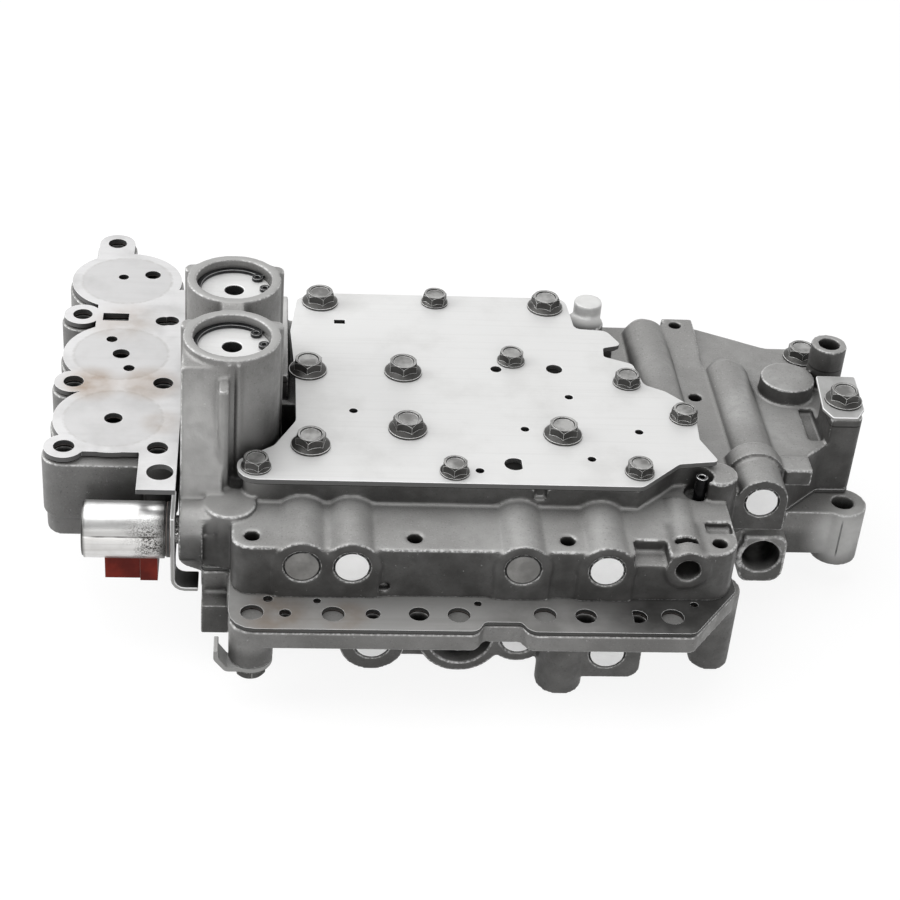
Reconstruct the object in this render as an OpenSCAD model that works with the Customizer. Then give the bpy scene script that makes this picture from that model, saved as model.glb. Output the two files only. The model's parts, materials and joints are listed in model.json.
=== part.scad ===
// Automatic transmission valve body with two accumulator towers, in millimetres.
// X runs to the right along the spool row, Y runs back from it, Z runs up from the feet.

/* [Layers] */
// Height of the lower casting's joint face above the feet
lower_h = 34; // [33:0.5:40]
// Thickness of the lower casting's flange below the joint face
flange_t = 7; // [5:0.5:9]
// Thickness of the paper gasket on the joint face
joint_gasket_t = 0.5; // [0.3:0.1:1]
// Thickness of the steel separator plate
separator_t = 1.5; // [1:0.1:2.5]
// Height of the upper casting's shelf above the separator plate
shelf_h = 20.7; // [20.2:0.1:24]
// Height of the seat under the cover above the shelf
seat_h = 8.3; // [7.5:0.1:12]
// Thickness of the cover gasket
cover_gasket_t = 1; // [0.6:0.1:1.6]
// Thickness of the top cover plate
cover_t = 2; // [1.4:0.1:3]
// How far the cover plate overhangs its seat
cover_overhang = 2; // [1.2:0.1:2.6]

/* [Spool valves] */
// Diameter of the spool bores in the upper row and the right ridge
upper_bore_d = 12.6; // [11:0.1:13.2]
// Height of the upper spool axes above the separator plate
upper_axis_h = 13.5; // [12.5:0.1:13.8]
// Radius of the humps over the upper spools
hump_r = 10.2; // [9.6:0.1:11]
// Diameter of the small spool bores in the lower row
lower_bore_d = 13; // [11.5:0.1:13.6]
// Diameter of the pressure regulator bore
regulator_bore_d = 22; // [20:0.2:23]
// Depth of the lower spool axes below the joint face
lower_axis_drop = 17.5; // [17:0.1:18.5]
// Diameter of the manual valve bore
manual_bore_d = 14; // [12:0.2:14.6]
// Length of the spools with their noses
spool_len = 46; // [42:0.5:48]
// Length of the nose that carries the spring and stops the spool
spool_nose = 14; // [13:0.5:16]
// Travel of the spools
spool_stroke = 6; // [3:0.5:8]
// Thickness of the bore plugs
plug_t = 7; // [5:0.5:9]
// Travel of the manual valve from its rest place towards the front
manual_out = 24; // [10:0.5:25]
// Travel of the manual valve from its rest place towards the back
manual_in = 8; // [4:0.5:9]

/* [Towers] */
// Height of the tower rims above the top face of the cover plate
tower_h = 37.2; // [34:0.1:44]
// Radius of the towers at the rim
tower_r = 17.1; // [16:0.1:17.4]
// Diameter of the tower bores
tower_bore_d = 27.2; // [24:0.2:28]
// Distance between the two tower axes
tower_pitch = 38.8; // [37.5:0.1:41]
// Depth of the tower covers below the rim
tower_cover_drop = 4.8; // [3.5:0.1:7]
// Thickness of the tower covers
tower_cover_t = 4; // [3:0.1:6]

/* [Side accumulators] */
// Thickness of the steel plate on the accumulators
side_plate_t = 2; // [1.4:0.1:3]
// Thickness of the gasket under that plate
side_gasket_t = 0.8; // [0.5:0.1:1.2]
// How far that plate's top lies below the cover plate's top
side_drop = 1; // [0:0.1:2]
// Diameter of the three accumulator bores
side_bore_d = 32; // [28:0.5:34]
// Radius of the lobes round the accumulator bores
side_lobe_r = 21.5; // [20.5:0.1:22.5]
// Diameter of the holes for the case bolts
case_hole_d = 7.4; // [6.6:0.1:8]

/* [Fasteners] */
// Thread diameter of the large flange bolts
bolt_d = 6; // [5:0.1:6.4]
// Flange diameter of the large bolts
bolt_flange_d = 14.3; // [12.5:0.1:15]
// Thread diameter of the small flange bolts
screw_d = 5; // [4:0.1:5.4]
// Flange diameter of the small bolts
screw_flange_d = 10.8; // [9.6:0.1:11.4]
// Thread length of the bolts in the castings
thread_len = 7; // [5:0.1:7.5]

/* [Solenoid] */
// Outer diameter of the solenoid can
can_d = 20.4; // [18:0.2:21]
// Length of the solenoid can
can_len = 29; // [24:0.5:34]

/* [Clearances] */
// Radial clearance of spools and pistons in their bores
slide_clear = 0.05; // [0.03:0.01:0.1]
// Radial clearance of plugs, covers and other fixed pieces in their seats
seat_clear = 0.05; // [0.03:0.01:0.1]
// Radial clearance of bolts in their holes
hole_clear = 0.2; // [0.1:0.05:0.4]
// Gap between the cover plate and the tower beside it
part_gap = 0.5; // [0.3:0.1:0.8]
// Gap between the ends of a moving piece and its stops
end_gap = 0.05; // [0.02:0.01:0.2]

/* [Hidden] */
// Middle of the part's outline in plan, which becomes the origin
datum = [9.6, 44.85];
// Heights of the joints between the layers
gasket_z = lower_h;
separator_z = gasket_z + joint_gasket_t;
upper_z = separator_z + separator_t;
shelf_z = upper_z + shelf_h;
seat_z = shelf_z + seat_h;
cover_z = seat_z + cover_gasket_t;
cover_top = cover_z + cover_t;
flange_z = lower_h - flange_t;
rim_z = cover_top + tower_h;
side_top = cover_top - side_drop;
side_plate_z = side_top - side_plate_t;
side_seat_z = side_plate_z - side_gasket_t;
upper_axis_z = upper_z + upper_axis_h;
right_axis_z = upper_axis_z + 3.5;
lower_axis_z = lower_h - lower_axis_drop;
manual_axis_z = lower_h - 10.5;
// Front faces of the castings
face_y = -44;
pad_y = -45.2;
flange_y = -61.8;
column_y = -28.6;
column_step_y = -36.4;
wall_y = -18;
// Spool valves: X of the axis and Y of the bore's mouth
upper_xs = [-52.5, -35.3, 23.8, 53.1];
open_x = 81.5;
right_valve = [114.5, -8];
lower_valves = [[-26.9, -46.4], [25.3, -42.8], [56.3, -50.3]];
regulator = [4.6, -42.9];
manual_valve_at = [120.1, -2];
plug_recess = 0.3;
regulator_recess = 9;
manual_recess = 26;
manual_len = 52;
// Bore lengths follow from what they hold
train_len = plug_recess + plug_t + spool_len + spool_stroke + 2 * end_gap;
spool_at = plug_recess + plug_t + end_gap;
spring_at = spool_at + spool_len - spool_nose;
spring_len = train_len - spring_at - end_gap;
manual_bore_len = manual_recess + manual_len + manual_in + end_gap;
spool_stem = 0.27;
spool_wire_r = 0.8;
// Towers and side accumulators
tower_x = -78;
tower_ys = [14, 14 + tower_pitch];
tower_foot_r = tower_r + 0.2;
fin_at = [-80.3, -11.5];
fin_r = 1.8;
fin_top_z = cover_top + 31;
flank_y = -17;
tower_floor_z = upper_z + 7;
tower_cover_z = rim_z - tower_cover_drop - tower_cover_t;
tower_ring_z = tower_cover_z + tower_cover_t;
tower_piston_h = 16;
tower_ring_t = 1.4;
tower_groove = 0.9;
side_centres = [[-120, 17], [-120, 60], [-121, 114]];
side_floor_z = upper_z + 8;
side_bottom_z = upper_z + 5;
side_piston_h = 9;
side_dish = 2.5;
tower_dish = 6;
piston_wall = 3;
// Case bolt holes: four corners of a rectangle, then two single lugs
case_corners = [[-136, -1], [-103.4, -1], [-103.4, 40.5], [-136, 40.5]];
case_singles = [[-136.4, 87.7], [-126.7, 143.6]];
case_lug_r = 7.1;
plate_gap = 0.9;
plate_right_x = tower_x - tower_foot_r - plate_gap;
side_wall = 0.8;
side_front_y = case_corners[0][1] - case_lug_r - side_wall;
side_port_depth = 12;
// Large hole in the side plate's tab, with a land between it and the plate's right edge
tab_hole_r = 4.7;
tab_hole_land = 1;
tab_hole_at = [plate_right_x - tab_hole_land - tab_hole_r, -15.5];
// Bolts on the cover
cover_bolts_at = [
    [-44.9, 99.8], [-50.1, 50.1], [-14.4, 50.3], [-49.6, 1.1], [-14.5, 12.5], [41.9, 10.8], [44.8, 100.5]
];
cover_screws_at = [
    [0.6, 102], [27.4, 60], [70.4, 46.5], [88.6, 23.7], [67, -11.5], [0.8, -13.4], [-68.8, -12.6]
];
bolt_head_h = 3.6;
bolt_flange_t = 1.6;
screw_head_h = 3.1;
screw_flange_t = 1.3;
bolt_hex_d = bolt_flange_d * 0.69;
screw_hex_d = screw_flange_d * 0.78;
head_dish = 0.5;
// Angles at which the hexagons came to rest
bolt_turns = [41, 25, 28, 18, 41, 23, 45];
screw_turns = [12, 15, 35, 50, 27, 23, 40];
bracket_turn = 23;
// Bolts from below, and the bolts at the two brackets and the back edge
under_bolts_at = [[-45, 70], [0, 82], [45, 82], [82, 62]];
wing_bolts_at = [[-110, 87], [-103, 73]];
back_bolt = [148, 86];
right_bolt = [151.8, 36];
left_bolt = [-69.4, -54];
right_sheet_t = 1.3;
right_sheet_pts = [
    [142.8, 30.6, 1], [145.4, 24.4, 1], [155, 24.4, 1], [158.8, 30.6, 1], [160.2, 53, 1], [145, 53, 1]
];
left_sheet_t = 1.6;
left_boss_z = lower_h - 16.5;
column_top_z = cover_top;
slab_z = lower_h - 26;
row_z = lower_axis_z - lower_bore_d / 2 - 4;
tube_at = [153, 69];
edge_x = tube_at[0] + 4.6;
pin_at = [90.6, -8.6];
pin_r = 2.2;
pin_foot_z = seat_z - 13;
// Lug on the right of the lower casting
lug = [154.4, 19.5];
lug_r = 9.1;
lug_hole_d = 8.4;
// Feet: the first two show under the front flange
foot_front = [[40.6, -45, 8.4], [97.6, -32, 7.4]];
foot_back = [[-62, 22, 7], [-40, 92, 7], [92, 84, 7]];
// Solenoid axis and the casting wall that it plugs into
can_at = [-99.3, -22, upper_z + 11.1];
can_nose_len = 13;
can_nose_r = 5;
can_wall_x = -95;
bobbin_t = 1.5;
solenoid_sheet_t = 1.5;
// Check balls in the upper casting's joint face
ball_d = 6.4;
balls_at = [[-30, 75], [20, 95], [62, 40], [5, 50]];

// Outline of the cover plate as X, Y and corner radius
cover_pts = [
    [-75.3, -19.9, 7], [67.3, -20.2, 4], [82.4, -5.8, 3], [97.3, -3.6, 1.5], [92.4, 10, 4],
    [93.8, 31, 6], [84.5, 41.5, 5], [77, 45.8, 4], [74.6, 60.2, 3], [64, 65, 1.5], [64.6, 71.3, 1.5],
    [72.2, 73.8, 2], [67.4, 84, 4], [55, 85, 3], [53.6, 108, 5], [-46, 107, 5], [-54, 102, 4],
    [-56.6, 78, 8], [-54.8, 45, 6], [-54.8, 16.5, 7], [-62.6, 0.6, 6], [-75.4, -8.6, 5]
];
// Edges that the upper casting and the plates under it have in common
right_edge = [
    [128, 9, 4], [144.6, 24.6, 2], [edge_x, 24.6, 3], [edge_x, 76, 6], [148, 93, 4], [135, 92.6, 8],
    [108, 106.4, 4]
];
deck_pts = concat(
    [[-76.8, face_y, 6.5], [100, face_y, 9], [100, -10, 2]],
    right_edge,
    [
        [-90, 104, 5], [-90, 14, 2], [-95.4, 14, 1], [-95.4, -17, 2], [-87, -25, 1],
        [-87, column_y, 1], [-76.8, column_y, 1]
    ]
);
joint_pts = concat(
    [
        [-77.2, flange_y, 9], [8, flange_y, 4], [10.6, -56.8, 2], [23.4, -56.8, 2], [26, flange_y, 5],
        [83.6, flange_y, 4], [101.8, -38.2, 4], [101.8, -4, 3]
    ],
    right_edge,
    [
        [-122, 106.4, 6], [-122, 48, 6], [-95.8, 48, 2], [-95.8, -16, 6], [-87.2, -20, 1],
        [-87.2, column_y - 0.3, 1.5], [-77.2, column_y - 0.3, 1]
    ]
);

// Point helpers for the outlines
function unit(v) = v / norm(v);
function left_of(v) = [-v[1], v[0]];
function xy(p) = [p[0], p[1]];
// Moves a corner inwards by d along both of its edges, with an arc parallel to the old one
function inset_corner(a, p, b, d) =
    let (u = unit(xy(p) - xy(a)), v = unit(xy(b) - xy(p)), m = left_of(u), n = left_of(v))
    let (q = xy(p) + d * (m + n) / (1 + m * n), r = m * v > 0 ? p[2] - d : p[2] + d)
    [q[0], q[1], max(r, 0.5)];
function inset(pts, d) =
    let (n = len(pts))
    [for (i = [0 : n - 1]) inset_corner(pts[(i + n - 1) % n], pts[i], pts[(i + 1) % n], d)];
// Points of the arc that rounds the corner p between a and b
function corner_arc(a, p, b, steps) =
    let (u = unit(xy(a) - xy(p)), v = unit(xy(b) - xy(p)), half = acos(u * v) / 2)
    let (c = xy(p) + unit(u + v) * p[2] / sin(half), s = xy(p) + u * p[2] / tan(half) - c)
    let (e = xy(p) + v * p[2] / tan(half) - c, from = atan2(s[1], s[0]))
    let (swing = (atan2(e[1], e[0]) - from + 900) % 360 - 180)
    [for (k = [0 : steps]) c + p[2] * [cos(from + swing * k / steps), sin(from + swing * k / steps)]];
function rounded(pts) =
    let (n = len(pts))
    [for (i = [0 : n - 1]) each corner_arc(pts[(i + n - 1) % n], pts[i], pts[(i + 1) % n], 4)];

module layer(pts, z, t) {
    translate([0, 0, z])
        linear_extrude(t)
            polygon(rounded(pts));
}

module block(from, to) {
    translate(from)
        cube(to - from);
}

module post(at, r, z, top) {
    translate([at[0], at[1], z])
        cylinder(h = top - z, r = r);
}

module posts(places, r, z, top) {
    for (at = places)
        post(at, r, z, top);
}

module along_y(x, y, z) {
    translate([x, y, z])
        rotate([-90, 0, 0])
            children();
}

module along_x(x, y, z) {
    translate([x, y, z])
        rotate([0, 90, 0])
            children();
}

// Flange bolt that stands on the plane z = 0 with its thread pointing down and a dished hexagon
module flange_bolt(thread_r, thread_l, flange_r, flange_h, hex_d, head_h) {
    top = flange_h + head_h;
    difference() {
        union() {
            translate([0, 0, -thread_l])
                cylinder(h = thread_l + flange_h, r = thread_r);
            cylinder(h = flange_h / 2, r = flange_r);
            translate([0, 0, flange_h / 2])
                cylinder(h = flange_h, r1 = flange_r * 0.97, r2 = hex_d * 0.46);
            intersection() {
                cylinder(h = top, r = hex_d / sqrt(3), $fn = 6);
                translate([0, 0, -hex_d / 2])
                    cylinder(h = top + hex_d / 2, r1 = hex_d + head_h, r2 = hex_d * 0.49);
            }
        }
        translate([0, 0, top - head_dish])
            cylinder(h = 2 * head_dish, r1 = hex_d * 0.36, r2 = hex_d * 0.46);
    }
}

module large_bolt(len, turn) {
    rotate([0, 0, turn])
        flange_bolt(bolt_d / 2, len, bolt_flange_d / 2, bolt_flange_t, bolt_hex_d, bolt_head_h);
}

module small_bolt(len, turn) {
    rotate([0, 0, turn])
        flange_bolt(screw_d / 2, len, screw_flange_d / 2, screw_flange_t, screw_hex_d, screw_head_h);
}

// Helical spring of n coils round the Z axis, from z = 0 to z = h
module coil(r, wire_r, h, n) {
    sides = 5;
    steps = 9 * n;
    rise = h - 2 * wire_r;
    pts = [
        for (i = [0 : steps], k = [0 : sides - 1])
            let (a = 360 * n * i / steps, b = 360 * k / sides)
            let (q = r + wire_r * cos(b))
            [q * cos(a), q * sin(a), wire_r + rise * i / steps + wire_r * sin(b)]
    ];
    walls = [
        for (i = [0 : steps - 1], k = [0 : sides - 1])
            let (m = (k + 1) % sides, o = i * sides)
            each [[o + k, o + m, o + k + sides], [o + m, o + m + sides, o + k + sides]]
    ];
    first = [for (k = [0 : sides - 1]) sides - 1 - k];
    last = [for (k = [0 : sides - 1]) steps * sides + k];
    polyhedron(points = pts, faces = concat([first, last], [for (f = walls) [f[0], f[2], f[1]]]));
}

// Spool with three lands and a nose that centres its spring, from z = 0 up
module spool(d, len) {
    land = (len - spool_nose) / 5;
    union() {
        cylinder(h = len, r = d * spool_stem);
        for (i = [0, 2, 4])
            translate([0, 0, i * land])
                cylinder(h = land, r = d / 2);
    }
}

// Piston from z = 0 to z = h, hollow below its crown and dished above it
module piston(r, h, dish) {
    difference() {
        cylinder(h = h, r = r);
        translate([0, 0, -1])
            cylinder(h = h - dish - piston_wall + 1, r = r - piston_wall);
        translate([0, 0, h - dish])
            cylinder(h = dish + 1, r = r - piston_wall);
    }
}

// Outline of the side accumulators, grown by g, cut off straight beside the towers
module side_outline(g) {
    intersection() {
        union() {
            for (c = side_centres)
                translate(c)
                    circle(r = side_lobe_r + g);
            for (c = concat(case_corners, case_singles))
                translate(c)
                    circle(r = case_lug_r + g);
            translate([-131, -4 - g])
                square([50, 112 + g]);
            translate([case_singles[1][0] - case_lug_r - g, side_centres[2][1]])
                square([2 * (case_lug_r + g), case_singles[1][1] - side_centres[2][1]]);
        }
        translate([-200, -50])
            square([200 + plate_right_x, 260]);
    }
}

module side_tab() {
    translate([-109.6, -26])
        square([109.6 + plate_right_x, 24]);
}

module case_holes(z, top) {
    posts(concat(case_corners, case_singles), case_hole_d / 2, z, top);
    post(tab_hole_at, tab_hole_r, z, top);
}

module side_ports(z, top) {
    post([-122.6, 116.7], 2, z, top);
    post([-111.2, 119], 3.1, z, top);
    post([-124.1, 70.1], 2.1, z, top);
    post(side_centres[1], 3.2, z, top);
    post([-116.5, 50.2], 2.1, z, top);
    post(side_centres[0], 3.3, z, top);
    block([-128.6, 83.6, z], [-118.7, 89, top]);
    posts([[-105.2, 84], [-102.6, 84.4]], 3.2, z, top);
}

// Room round the front tower
module tower_room(z, top) {
    post([tower_x, tower_ys[0]], tower_foot_r + part_gap, z, top);
}

// Bores of the upper casting
module valve_bore(x, y, z, d) {
    along_y(x, y - 1, z)
        cylinder(h = train_len + 1, r = d / 2);
}

module upper_bores() {
    for (x = upper_xs)
        valve_bore(x, pad_y, upper_axis_z, upper_bore_d);
    valve_bore(right_valve[0], right_valve[1], right_axis_z, upper_bore_d);
    along_y(open_x, pad_y - 1, upper_axis_z + 0.8)
        cylinder(h = 23, r = 4.3);
    block([open_x - 4, -38.4, upper_axis_z], [open_x + 4, -35.6, shelf_z + 8]);
    for (y = tower_ys) {
        post([tower_x, y], tower_bore_d / 2, tower_floor_z, rim_z + 1);
        post([tower_x, y], tower_bore_d / 2 + tower_groove, tower_ring_z, tower_ring_z + tower_ring_t);
    }
    along_x(can_wall_x - 1, can_at[1], can_at[2])
        cylinder(h = can_nose_len, r = can_nose_r + seat_clear);
}

module upper_threads() {
    posts(cover_bolts_at, bolt_d / 2 + hole_clear, seat_z - thread_len - 0.5, seat_z + 1);
    posts(cover_screws_at, screw_d / 2 + hole_clear, seat_z - thread_len - 0.5, seat_z + 1);
    posts(under_bolts_at, bolt_d / 2 + hole_clear, upper_z - 1, upper_z + thread_len + 0.5);
    post(back_bolt, bolt_d / 2 + hole_clear, shelf_z - thread_len - 0.5, shelf_z + 1);
    post(right_bolt, bolt_d / 2 + hole_clear, column_top_z - thread_len - 0.5, column_top_z + 1);
    posts(balls_at, ball_d / 2 + hole_clear, upper_z - 1, upper_z + ball_d + hole_clear);
}

// Hump over an upper spool, with the flat pad round its plug
module hump(x, pad) {
    along_y(x, pad, upper_axis_z)
        cylinder(h = wall_y + 6 - pad, r = hump_r);
    block([x - hump_r + 0.5, pad, upper_z], [x + hump_r - 0.5, face_y + 1, upper_axis_z]);
}

// Sloping flank on the left of the front tower, up to the fin
module tower_flank() {
    left = tower_x - tower_r;
    translate([left, 0, 0])
        rotate([90, 0, 90])
            linear_extrude(fin_at[0] - left)
                polygon([
                    [tower_ys[0], upper_z], [flank_y, upper_z], [flank_y, shelf_z],
                    [tower_ys[0] - tower_r, rim_z - 3], [tower_ys[0], rim_z - 3]
                ]);
}

module towers() {
    for (y = tower_ys)
        translate([tower_x, y, upper_z])
            cylinder(h = rim_z - upper_z, r1 = tower_foot_r, r2 = tower_r);
    block([tower_x - 4, tower_ys[0] + 14, upper_z], [tower_x + 4, tower_ys[1] - 14, rim_z - 0.6]);
    post(fin_at, fin_r, upper_z, fin_top_z);
    block(
        [fin_at[0] - fin_r, fin_at[1], upper_z],
        [fin_at[0] + fin_r, tower_ys[0] - tower_r + 2, fin_top_z]
    );
    for (dx = [-0.6, 2.6])
        post([tower_x + dx, tower_ys[0] - tower_r + 0.3], 1.3, upper_z, rim_z - 1);
    for (y = tower_ys)
        posts([[tower_x - 15, y + 8], [tower_x + 15, y + 8]], 3.2, shelf_z, rim_z - 0.6);
    post([tower_x + 0.5, -21], 9.2, upper_z, shelf_z + 2);
    tower_flank();
}

// Pad at the back edge, with a ramp down to the shelf in front of it
module back_pad() {
    top = shelf_z + 4.6;
    translate([93.6, 0, 0])
        rotate([90, 0, 90])
            linear_extrude(12.6)
                polygon([[70, shelf_z - 1], [106.2, shelf_z - 1], [106.2, top], [96, top]]);
}

// Ridges, bosses and pads of the upper casting on the right
module right_features() {
    along_y(86, 34, shelf_z - 1.7)
        cylinder(h = 66, r = 9.1);
    along_y(86, 100, shelf_z - 1.7)
        cylinder(h = 6.5, r1 = 9.1, r2 = 5.5);
    along_y(right_valve[0] + 0.8, 12, right_axis_z)
        cylinder(h = 62, r = 9.2);
    along_y(right_valve[0] + 0.8, 74, right_axis_z)
        cylinder(h = 7, r1 = 9.2, r2 = 5.5);
    block([right_valve[0] - 11.5, 15, upper_z], [right_valve[0] + 12, 33, right_axis_z + 2.5]);
    along_y(right_valve[0], right_valve[1], right_axis_z)
        cylinder(h = 20, r = 9.8);
    along_y(right_valve[0], 7, right_axis_z)
        cylinder(h = 8, r = 11.4);
    block(
        [right_valve[0] - 9.6, right_valve[1], right_axis_z - 12.3],
        [right_valve[0] + 9.6, 10, right_axis_z]
    );
    back_pad();
    post([136.4, 60.5], 10.5, shelf_z - 4, shelf_z + 7);
    post(tube_at, 6.9, upper_z, cover_top + 6);
    layer(
        [[145, 24.6, 1.5], [edge_x, 24.6, 3], [edge_x, 43, 3], [145, 43, 2]],
        upper_z, column_top_z - upper_z
    );
    block([126, 6, shelf_z - 6], [136, 16, shelf_z + 1]);
    post([97, -6], 7.2, upper_z, seat_z - 0.4);
    post([60.5, 96], 7.6, upper_z, seat_z);
    post([62.5, 103], 5.6, upper_z, cover_top + 2);
}

module upper_body() {
    color("#8b8d8e")
    difference() {
        union() {
            difference() {
                union() {
                    layer(deck_pts, upper_z, shelf_h);
                    layer(inset(cover_pts, cover_overhang), upper_z, seat_z - upper_z);
                }
                block([-59.6, 8, upper_z + 6], [-54.2, 44, cover_top]);
            }
            towers();
            block([-60.4, 46, upper_z], [-57.4, 104, cover_top]);
            for (x = upper_xs)
                hump(x, pad_y);
            along_y(open_x, pad_y, upper_axis_z + 0.8)
                cylinder(h = wall_y + 6 - pad_y, r = 8);
            along_x(can_wall_x, can_at[1], can_at[2])
                cylinder(h = 8.4, r = 10.9);
            right_features();
        }
        upper_bores();
        upper_threads();
        posts([[-69.7, -37], [-13.8, -37], [39.5, -37], [93.3, -37]], 2.6, shelf_z - 12, shelf_z + 1);
        block([62.6, face_y - 1, shelf_z - 5.2], [74.4, -36, shelf_z + 4]);
        block([89.8, -31.2, shelf_z - 3], [99, -25, shelf_z + 4]);
        block([29, wall_y - 8, seat_z - 5], [33.4, wall_y + 1.5, seat_z + 1]);
        block([-25.8, face_y - 3, upper_z + 2.8], [-22, face_y + 3, upper_z + 6]);
        post([98.6, 101], 2.4, shelf_z - 6, shelf_z + 8);
        post([99.9, 55.3], 2.5, shelf_z - 9, shelf_z + 1);
        post(tube_at, 4.1, shelf_z - 10, cover_top + 8);
        post(pin_at, pin_r + seat_clear, pin_foot_z, seat_z + 1);
        post(pin_at + [-0.4, 1.4], pin_r + 2.6, pin_foot_z + 2, seat_z + 1);
        block([139.4, 28, shelf_z - 2.6], [144.9, 49, shelf_z + 1]);
        block([-88, column_y - 1, shelf_z - 7.2], [-76.8, column_y + 1, shelf_z - 6.2]);
    }
}

module lower_bores() {
    for (v = lower_valves)
        valve_bore(v[0], v[1], lower_axis_z, lower_bore_d);
    along_y(regulator[0], regulator[1] - 1, lower_axis_z)
        cylinder(h = train_len + regulator_recess + 1, r = regulator_bore_d / 2);
    along_y(manual_valve_at[0], manual_valve_at[1] - 1, manual_axis_z)
        cylinder(h = manual_bore_len + 1, r = manual_bore_d / 2);
}

module lower_body() {
    color("#7f8182")
    difference() {
        union() {
            layer(joint_pts, flange_z, flange_t);
            layer([[-72, -20, 6], [98, -20, 6], [98, 100, 8], [-72, 100, 8]], slab_z, lower_h - slab_z - 1);
            block([-36, -40, row_z], [34, -15, lower_h - 1]);
            block([45, lower_valves[2][1], row_z - 0.5], [68.6, -15, lower_h - 1]);
            along_y(lower_valves[0][0], lower_valves[0][1], lower_axis_z)
                cylinder(h = 30, r = 11.6);
            along_y(lower_valves[1][0], lower_valves[1][1], lower_axis_z)
                cylinder(h = 30, r = 10.4);
            along_y(regulator[0], regulator[1], lower_axis_z)
                cylinder(h = 74, r = regulator_bore_d / 2 + 4.2);
            along_y(manual_valve_at[0], manual_valve_at[1], manual_axis_z)
                cylinder(h = 90, r = 9.5);
            block([96, 14, lower_h - 15], [150, 84, lower_h - 1]);
            block(
                [manual_valve_at[0] - 7.5, manual_valve_at[1], manual_axis_z - 12],
                [manual_valve_at[0] + 9.5, 30, lower_h - 1]
            );
            block([129, 12.4, lower_h - 19.5], [152, 44, lower_h]);
            post(lug, lug_r, lower_h - 24, lower_h);
            block([-87, column_y, lower_h - 22], [-77, -15, lower_h - 1]);
            block([-87, column_step_y, lower_h - 22], [-77, column_y + 1, lower_h - 9.5]);
            block([-78, -40, flange_z - 1], [-70, -15, lower_h - 1]);
            post(left_bolt, 7.7, left_boss_z, lower_h - 1);
            for (f = foot_front)
                post(f, f[2], 0, lower_h - 1);
            for (f = foot_back)
                post(f, f[2], 0, slab_z + 1);
            posts([[1.9, -53.3], [31.9, -52.6]], 6, flange_z - 2.5, lower_h - 1);
        }
        lower_bores();
        posts(under_bolts_at, bolt_d / 2 + hole_clear, slab_z - 1, lower_h + 1);
        posts(wing_bolts_at, bolt_d / 2 + hole_clear, flange_z - 1, lower_h + 1);
        post(left_bolt, bolt_d / 2 + hole_clear, left_boss_z - 1, left_boss_z + thread_len + 0.5);
        post(lug, lug_hole_d / 2, lower_h - 26, lower_h + 1);
        flange_ports(flange_z + 1, lower_h + 1);
    }
}

// Ports in the front flange and its plates
module flange_ports(z, top) {
    post([-57.9, -53.4], 2.1, z, top);
    post([-27.8, -53.3], 2.6, z, top);
    post([-11.9, -53], 3.6, z, top);
    post([46.2, -53], 3.8, z, top);
    difference() {
        post([64.4, -53], 3.4, z, top);
        block([60, -58, z - 1], [62.8, -48, top + 1]);
    }
}

// Dull round windows in the plates that show the casting below
module flange_windows(z, top) {
    posts([[-69.2, -53.2], [-41.5, -53.6], [1.9, -53.3], [31.9, -52.6], [76.8, -52.8]], 4, z, top);
    post([-63.8, -45.9], 1.7, z, top);
    posts([[-46.9, -46.6], [8.9, -47], [85.5, -46]], 1.4, z, top);
}

module accumulator_body() {
    color("#8e9091")
    difference() {
        union() {
            translate([0, 0, side_bottom_z])
                linear_extrude(side_seat_z - side_bottom_z)
                    side_outline(side_wall);
            block([case_corners[0][0], side_front_y, side_bottom_z], [-108.8, 2, side_seat_z]);
            block(
                [-142.4, side_centres[2][1] + 8, side_bottom_z],
                [-122, side_centres[2][1] + 16, side_seat_z - 2]
            );
            posts([case_corners[0], case_corners[3]], case_lug_r - 0.3, upper_z - 3, side_bottom_z + 1);
            block([case_corners[0][0], side_front_y + 1.1, upper_z - 3], [-129.4, 5, side_bottom_z + 1]);
            block([-119, 51, upper_z], [plate_right_x - 1, 104, side_bottom_z + 1]);
        }
        for (c = side_centres)
            post(c, side_bore_d / 2, side_floor_z, side_seat_z + 1);
        case_holes(upper_z - 4, side_seat_z + 1);
        side_ports(side_seat_z - side_port_depth, side_seat_z + 1);
        posts(wing_bolts_at, bolt_d / 2 + hole_clear, upper_z - 1, upper_z + thread_len + 0.5);
    }
}

module cover_plate() {
    color("#d9dadb")
    difference() {
        layer(cover_pts, cover_z, cover_t);
        tower_room(cover_z - 1, cover_top + 1);
        posts(cover_bolts_at, bolt_d / 2 + hole_clear, cover_z - 1, cover_top + 1);
        posts(cover_screws_at, screw_d / 2 + hole_clear, cover_z - 1, cover_top + 1);
        block([-39.6, 84.2, cover_z - 1], [-35.4, 87, cover_top + 1]);
        posts(
            [[-33.8, 23.8], [9.8, -12.2], [47.1, 36.1], [28.4, 14.3], [50.8, -3.8], [70.5, 14]],
            1.55, cover_z - 1, cover_top + 1
        );
        post([21.2, 54.2], 2.1, cover_z - 1, cover_top + 1);
        post([43.6, 55.2], 3.1, cover_z - 1, cover_top + 1);
        intersection() {
            post([22.6, -7.8], 3.7, cover_z - 1, cover_top + 1);
            block([15, -14, cover_z - 1], [25.2, 0, cover_top + 1]);
        }
    }
}

module cover_gasket() {
    color("#3b3a38")
    difference() {
        layer(inset(cover_pts, cover_overhang - 0.9), seat_z, cover_gasket_t);
        posts(cover_bolts_at, bolt_d / 2 + hole_clear, seat_z - 1, cover_z + 1);
        posts(cover_screws_at, screw_d / 2 + hole_clear, seat_z - 1, cover_z + 1);
        tower_room(seat_z - 1, cover_z + 1);
    }
}

module joint_holes(z, top) {
    posts(under_bolts_at, bolt_d / 2 + hole_clear, z, top);
    posts(wing_bolts_at, bolt_d / 2 + hole_clear, z, top);
    flange_ports(z, top);
    flange_windows(z, top);
}

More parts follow.
